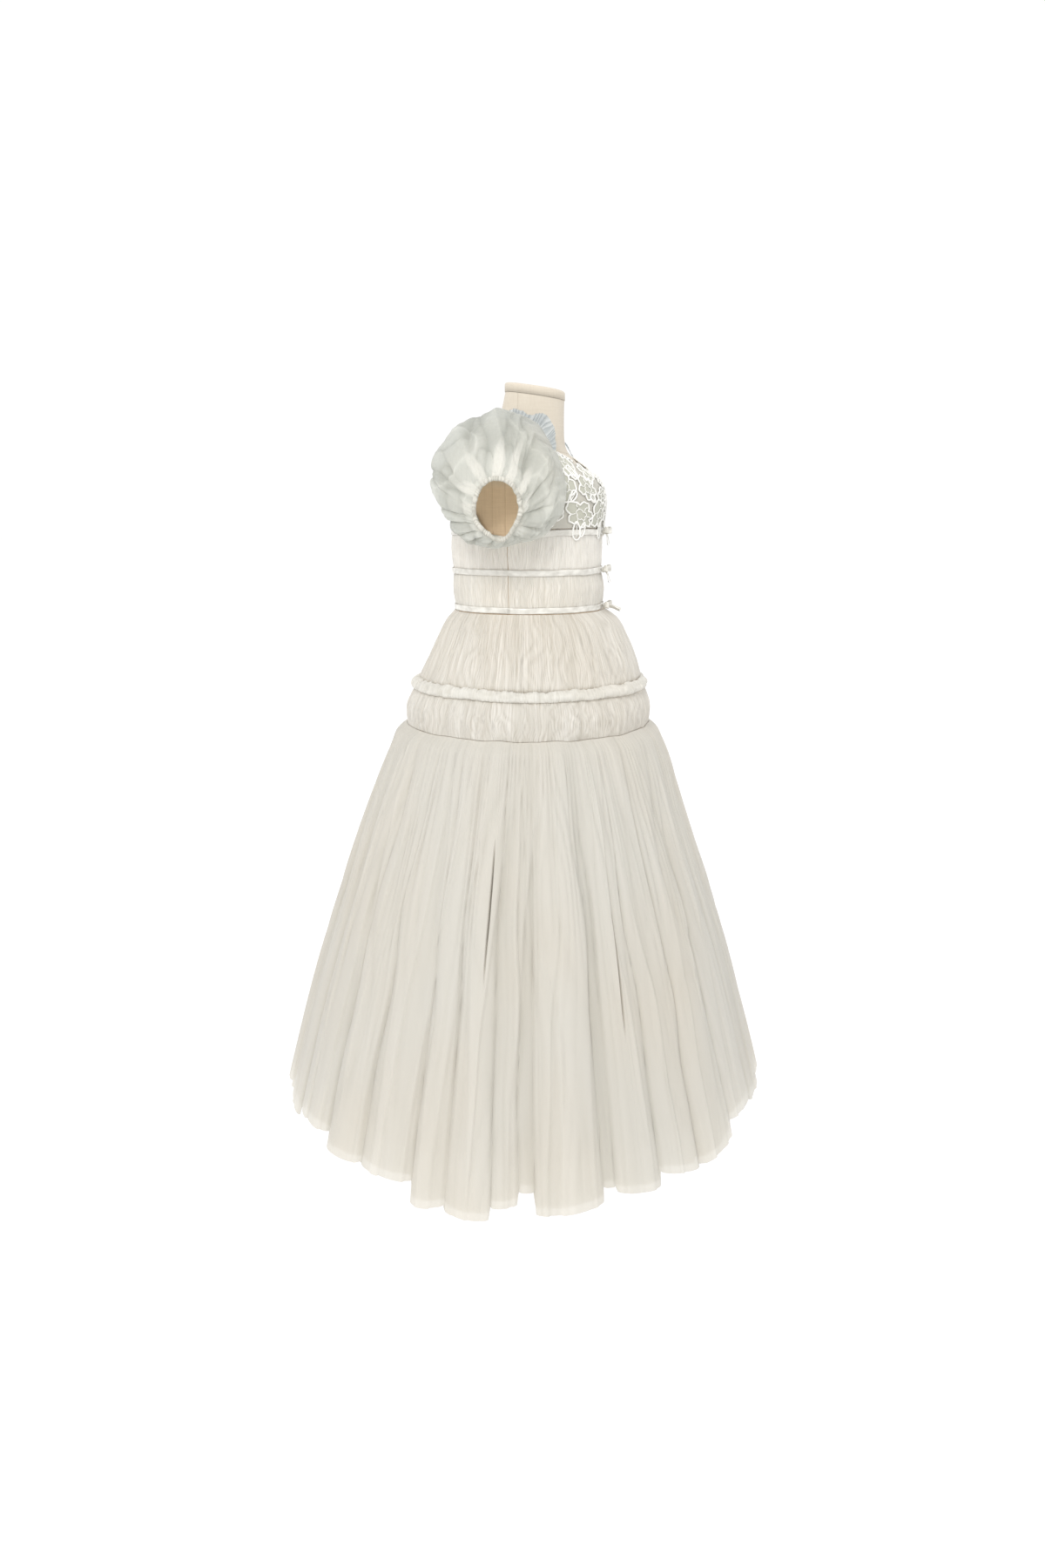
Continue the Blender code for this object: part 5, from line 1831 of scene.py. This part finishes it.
    def outer(self) -> Patch:
        """Return the sheer outer puff: soft lobes from the cuff, creases and fine gathers."""
        turn = full_turn(540)
        share = shares(76)
        place = share * (len(self.sections) - 1)
        fold = self.column("fold", place)
        seed = 401 if self.side is Side.RIGHT else 431
        middle = np.sin(math.pi * share)
        wander = 0.26 * ring_noise(turn, share, 6, 3, seed) + 0.06 * ring_noise(turn, share, 15, 4, seed + 1)
        wander = wander * middle
        lobes = overlaps(turn + wander, share, self.fold_count, 0.8, 0.16, seed + 2)
        counter = overlaps(-turn + 0.8 * wander, share, 9, 0.8, 0.14, seed + 4)
        soft = ring_noise(turn, share, 6, 4, seed + 11)
        broad_creases = wrinkles(turn + 0.5 * wander, share, 8, 3, 0.13, seed + 13)
        short_creases = wrinkles(turn + wander, share, 17, 6, 0.09, seed + 15)
        bright_lines = wrinkles(turn + 0.7 * wander, share, 12, 5, 0.04, seed + 17)
        near_cuff = np.clip((share - 0.60) / 0.40, 0.0, 1.0) ** 1.3
        near_armhole = np.clip((0.20 - share) / 0.20, 0.0, 1.0)
        medium = gathers(turn + wander * 0.8, share, 34, 1.3, seed + 3)
        fine = gathers(turn + wander * 0.5, share, 84, 1.4, seed + 7)
        end = np.clip(share / 0.06, 0.0, 1.0) * np.clip((1.0 - share) / 0.04, 0.0, 1.0)
        ease = end * (near_cuff + near_armhole)
        spread = (
            fold * (0.0036 * lobes + 0.0036 * counter + 0.0034 * soft + 0.0008 * (medium - 0.5) + 0.0008)
            - fold * (0.0044 * broad_creases + 0.0022 * short_creases - 0.0012 * bright_lines)
            + ease * (0.0010 * fine + 0.0022 * medium - 0.0014)
            - fold * self.crease_depth(turn, share)
        )
        points = self.rings(place, turn, spread)
        # Painted highlight and shade: lighter on the lobes and along the bright lines, darker in the creases.
        relief = 0.36 * lobes + 0.36 * counter + 0.25 * medium * near_cuff + 0.34
        relief = relief - 0.40 * broad_creases - 0.42 * short_creases + 0.55 * bright_lines
        relief = relief - 55.0 * self.crease_depth(turn, share)
        thread = self.rings(place, turn, np.zeros_like(spread))
        # Low cover makes the tulle more see-through and turns its colour to the bare colour, partly painted
        # light.
        cover = 1.0 - self.clear_wedges(turn + wander, share) * (0.60 + 0.40 * medium)
        return self.sided(Patch(points, relief=relief, thread=thread, cover=cover))

    def clear_wedges(self, turn: Array, share: Array) -> Array:
        """Return where only one layer covers the puff: pointed wedges that rise from the cuff."""
        total = np.zeros(np.broadcast(turn, share).shape)
        for wedge in self.wedges:
            along = np.clip((share - wedge.start) / (wedge.end - wedge.start), 0.0, 1.0)
            width = math.radians(wedge.width) * along ** 0.8 * (1.9 - 1.1 * along) + 1e-4
            centre = math.radians(wedge.turn) + math.radians(wedge.slant) * (1.0 - along)
            away = np.abs(wrapped(turn - centre))
            inside = np.clip((1.0 - away / width) * 3.0, 0.0, 1.0)
            total = np.maximum(total, wedge.depth * inside * np.clip(along * 2.5, 0.0, 1.0))
        return total

    def inner(self) -> Patch:
        """Return the cream puff, which stands a little inside the sheer one."""
        turn = full_turn(210)
        first, last = self.inner_rows[0][0], self.inner_rows[-1][0]
        place = np.linspace(first, last, 36)[:, None]
        below = np.exp(-((turn - math.pi) / self.inner_drop_width) ** 2)
        below = below * np.clip(self.inner_drop_end - place, 0.0, 1.0)
        inset = read_rows(place, self.inner_rows) - self.inner_drop * below
        way = (place - first) / 3.8
        wave = ring_noise(turn, way, 22, 4, 461) * 0.0012
        pleat = gathers(turn, way, 34, 1.2, 463)
        spread = wave + 0.0014 * (pleat - 0.6) * (1.0 - 0.8 * (place - 4.2).clip(0.0, 0.8) / 0.8) - inset
        return self.sided(Patch(self.rings(place, turn, spread), relief=pleat))

    def cuff(self) -> Patch:
        """Return the ruched elastic casing round the opening."""
        turn = full_turn(320)[0]
        end = self.rings(np.array([[6.0]]), turn[None, :], np.zeros((1, turn.size)))[0]
        middle = end.mean(axis=0)
        outward = (end - middle) / np.linalg.norm(end - middle, axis=1, keepdims=True)
        around = full_turn(12)
        ruche = gathers(turn[:, None], 0.4 + 0.1 * np.sin(around), 46, 1.2, 481)
        radius = self.cuff_radius * (0.84 + 0.28 * ruche)
        stray = ring_noise(turn[:, None], np.full_like(around, 0.3), 34, 1, 483)[:, :1]
        end = end + outward * 0.0007 * stray
        seat = end + np.array([self.cuff_radius * (1.0 + self.cuff_ruche) + self.gap, 0.0, 0.0])
        points = seat[:, None, :] + (radius * np.cos(around))[..., None] * outward[:, None, :]
        points[..., 0] += radius * np.sin(around)
        # The ruches paint shade and highlight through the relief.
        return self.sided(Patch(points, tube=True, relief=ruche, thread=points))

    def frill(self) -> Patch:
        """Return the pleated frill that stands up along the sleeve's edge by the neck."""
        share = shares(12)
        way = np.linspace(0.0, 1.0, 540)[None, :]
        turn = np.radians(self.frill_start + (self.frill_end - self.frill_start) * way)
        first = self.sections[0]
        middle = np.array([(first.top_out + first.bottom_out) / 2.0, (first.back - first.front) / 2.0,
                           (first.top_height + first.bottom_height) / 2.0])
        up = np.array([first.top_out, middle[1], first.top_height]) - middle
        up_reach = float(np.linalg.norm(up))
        upright = up / up_reach
        towards_neck = np.array([-upright[2], 0.0, upright[0]])
        forward = np.array([0.0, -1.0, 0.0])
        radial = np.cos(turn)[..., None] * upright + np.sin(turn)[..., None] * forward
        shape = self.outline_share(turn, "armhole")[..., None]
        root = (middle + np.cos(turn)[..., None] * upright * up_reach * shape
                + np.sin(turn)[..., None] * forward * (first.front + first.back) / 2.0 * shape
                + towards_neck * (self.gap + 0.0006))
        which = 0 if self.side is Side.RIGHT else 1
        edges = np.radians([edge + self.frill_shifts[which] for edge in self.frill_taper])
        taper = np.interp(turn, edges, [1.0, self.frill_front_shares[which]])
        fan_out = np.zeros_like(turn)
        for centre, width, rise in self.frill_rises:
            fan_out = fan_out + rise * np.exp(-((turn - math.radians(centre)) / width) ** 2)
        taper = taper * (1.0 + self.frill_fans[which] * fan_out)
        wave = self.frill_wave * np.sin(self.frill_waves * TURN * way)
        angle = way * TURN * 0.98
        pleat = gathers(angle, share * 0.2, 44, 1.0, 491)
        edge = 0.0010 * ring_noise(angle, np.zeros_like(angle), 40, 1, 493)
        reach = (self.frill_reach + edge) * share * taper
        fan = wave * 0.8 * share + 0.0030 * (pleat - 0.5) * np.clip(share * 2.5, 0.0, 1.0)
        points = (root + radial * (reach * self.frill_upright)[..., None]
                  + towards_neck * (reach * self.frill_lean + fan)[..., None])
        flat_angle = angle * 0.06 + np.zeros_like(reach)
        thread = np.stack([flat_angle, reach * 0.3, reach * 0.3], axis=-1)
        # The pleats paint shade and highlight through the relief.
        return self.sided(Patch(points, closed=False, relief=pleat, thread=thread))

    def build(self, wardrobe: Wardrobe) -> None:
        """Make and dress the sleeve's four pieces."""
        label = self.side.label
        puff = f"sleeve_{label}_puff"
        for name, node, slot, finish, patch, flat, rests_on in (
            (puff, "sleeve", "sleeve_tulle", wardrobe.sleeve_tulle, self.outer(), (0.39, 0.160),
             "bodice_front_lining"),
            (f"inner_puff_{label}", "sleeve_lining", "sleeve_lining", wardrobe.sleeve_lining,
             self.inner(), (0.32, 0.11), puff),
            (f"cuff_{label}_casing", "cuff", "sleeve_tulle", wardrobe.cuff_tulle, self.cuff(),
             (0.17, 0.012), puff),
            (f"frill_{label}_fan", "frill", "sleeve_tulle", wardrobe.frill_tulle, self.frill(),
             (0.20, 0.0100) if self.side is Side.RIGHT else (0.12, 0.0100), puff),
        ):
            sew(name, f"{node}_{label}", slot, patch, finish)


@dataclass(frozen=True)
class SoftBox:
    """A large soft lamp: where it stands, where it points, its width and its power."""

    name: str
    place: tuple[float, float, float]
    target: tuple[float, float, float]
    size: float
    power: float


@dataclass
class Studio:
    """The pale floor and backdrop, the soft lamps and the camera at the photograph's place."""

    floor_half: float = 30.0
    camera_place: tuple[float, float, float] = (-1.37038, -0.28650, 0.80900)
    azimuth: float = -78.0
    pitch: float = 14.0
    focal_share: float = 1240.0 / 1800.0
    sensor: float = 36.0
    lamps: Sequence[SoftBox] = (
        SoftBox("key", (-3.1, 0.1, 2.8), (0.0, 0.0, 0.55), 1.6, 66.0),
        SoftBox("rim", (1.8, -2.4, 2.6), (0.0, 0.0, 0.6), 2.0, 12.0),
    )

    def add_floor(self) -> None:
        """Make the wide pale floor."""
        half = self.floor_half
        mesh = bpy.data.meshes.new("floor")
        corners = [(-half, -half, 0.0), (half, -half, 0.0), (half, half, 0.0), (-half, half, 0.0)]
        mesh.from_pydata(corners, [], [(0, 1, 2, 3)])
        bench = Bench("floor_paper")
        shader = bench.node("ShaderNodeBsdfPrincipled", {}, {
            "Base Color": rgba((0.10, 0.10, 0.10)),
            "Roughness": 0.9,
            "Specular IOR Level": 0.1,
            "Emission Color": rgba((1.0, 1.0, 1.0)),
            "Emission Strength": 1.0,
        })
        mesh.materials.append(bench.finish(shader))
        floor = bpy.data.objects.new("floor", mesh)
        bpy.context.scene.collection.objects.link(floor)

    def add_lamp(self, box: SoftBox) -> None:
        """Place one lamp and point it."""
        lamp = bpy.data.lights.new(box.name, "AREA")
        lamp.shape = "DISK"
        lamp.size = box.size
        lamp.energy = box.power
        holder = bpy.data.objects.new(box.name, lamp)
        bpy.context.scene.collection.objects.link(holder)
        holder.location = box.place
        way = Vector(box.target) - Vector(box.place)
        holder.rotation_euler = way.to_track_quat("-Z", "Y").to_euler()

    def add_world(self) -> None:
        """Light the scene from all round with white."""
        world = bpy.data.worlds.new("studio_white")
        world.use_nodes = True
        background = world.node_tree.nodes["Background"]
        background.inputs["Color"].default_value = rgba((1.0, 1.0, 1.0))
        background.inputs["Strength"].default_value = 1.02
        bpy.context.scene.world = world

    def add_camera(self) -> None:
        """Place the camera, level from side to side and pitched down."""
        turn = math.radians(self.azimuth)
        fall = math.radians(self.pitch)
        forward = Vector((-math.sin(turn) * math.cos(fall), math.cos(turn) * math.cos(fall), -math.sin(fall)))
        right = forward.cross(Vector((0.0, 0.0, 1.0))).normalized()
        up = right.cross(forward)
        camera = bpy.data.cameras.new("camera")
        camera.sensor_width = self.sensor
        camera.lens = self.focal_share * self.sensor
        camera.clip_end = 100.0
        holder = bpy.data.objects.new("camera", camera)
        frame = Matrix((right, up, -forward)).transposed().to_4x4()
        holder.matrix_world = Matrix.Translation(self.camera_place) @ frame
        bpy.context.scene.collection.objects.link(holder)
        bpy.context.scene.camera = holder

    def build(self) -> None:
        """Set the whole studio up."""
        self.add_floor()
        for box in self.lamps:
            self.add_lamp(box)
        self.add_world()
        self.add_camera()
        bpy.context.scene.view_settings.view_transform = "Standard"


def make_wardrobe() -> Wardrobe:
    """Build every material of the gown, the form and the stand."""
    return Wardrobe(
        # Each tulle's first colour is its own and its second the painted shade of its valleys and creases.
        tulle=TulleFinish("skirt_tulle", (0.765, 0.74, 0.68), (0.58, 0.56, 0.50), 0.90).build(),
        tier_tulle=TulleFinish("tier_tulle", (0.90, 0.885, 0.835), (0.50, 0.48, 0.42), 0.96).build(),
        band_tulle=TulleFinish("band_tulle", (0.95, 0.94, 0.895), (0.62, 0.61, 0.55), 0.985).build(),
        sleeve_tulle=TulleFinish(
            "sleeve_tulle", (0.80, 0.81, 0.76), (0.36, 0.37, 0.34), 0.74, 260.0, 14.0, fine_share=0.16,
            warm=(1.0, 0.985, 0.95),
        ).build(),
        frill_tulle=TulleFinish(
            "frill_tulle", (0.70, 0.73, 0.73), (0.30, 0.34, 0.36), 0.90, warm=(1.0, 1.0, 0.99)
        ).build(),
        cuff_tulle=TulleFinish("cuff_tulle", (0.84, 0.82, 0.75), (0.40, 0.39, 0.34), 1.0).build(),
        sleeve_lining=ClothFinish("puff_cream", (0.96, 0.945, 0.90), (0.88, 0.86, 0.79), through=0.5).build(),
        bodice_net=TulleFinish("bodice_net", (0.74, 0.73, 0.67), (0.58, 0.57, 0.50), 0.84,
                               streaks=900.0, along=900.0).build(),
        bodice_lining=ClothFinish("bodice_nude", (0.62, 0.54, 0.44), (0.52, 0.45, 0.36)).build(),
        skirt_lining=ClothFinish("skirt_lining_cloth", (0.78, 0.64, 0.53), (0.66, 0.54, 0.44)).build(),
        satin_ribbon=SatinFinish("cream_satin", (0.84, 0.82, 0.76), (0.48, 0.46, 0.41)).build(),
        lace_net=TulleFinish(
            "lace_net", (0.66, 0.66, 0.57), (0.42, 0.43, 0.36), 0.95, 700.0, 700.0, 0.3, 0.0004
        ).build(),
        lace_cord=CordFinish("white_cord", (0.92, 0.91, 0.87), (0.72, 0.71, 0.67)).build(),
        form_linen=LinenFinish(
            "form_linen", (0.66, 0.60, 0.51), (0.54, 0.48, 0.39), (0.86, 0.67, 0.47), (0.66, 0.48, 0.31),
            FORM_SEAMS,
        ).build(),
        cap_linen=LinenFinish(
            "cap_linen", (0.68, 0.62, 0.52), (0.56, 0.49, 0.40), (0.68, 0.62, 0.52), (0.56, 0.49, 0.40)
        ).build(),
        stand_steel=SteelFinish("stand_steel", (0.60, 0.60, 0.61)).build(),
    )


def main() -> None:
    """Build the studio and every piece of the gown."""
    logging.basicConfig(level=logging.INFO, format="%(message)s")
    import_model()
    Studio().build()
    wardrobe = make_wardrobe()
    DressForm().build(wardrobe)
    bodice = Bodice()
    bodice.build(wardrobe)
    Lace().build(bodice, wardrobe)
    Bands().build(wardrobe, Ribbons().build(wardrobe))
    Hips().build(wardrobe)
    Skirt().build(wardrobe)
    for side in Side:
        Sleeve(side).build(wardrobe)


if __name__ == "__main__":
    main()
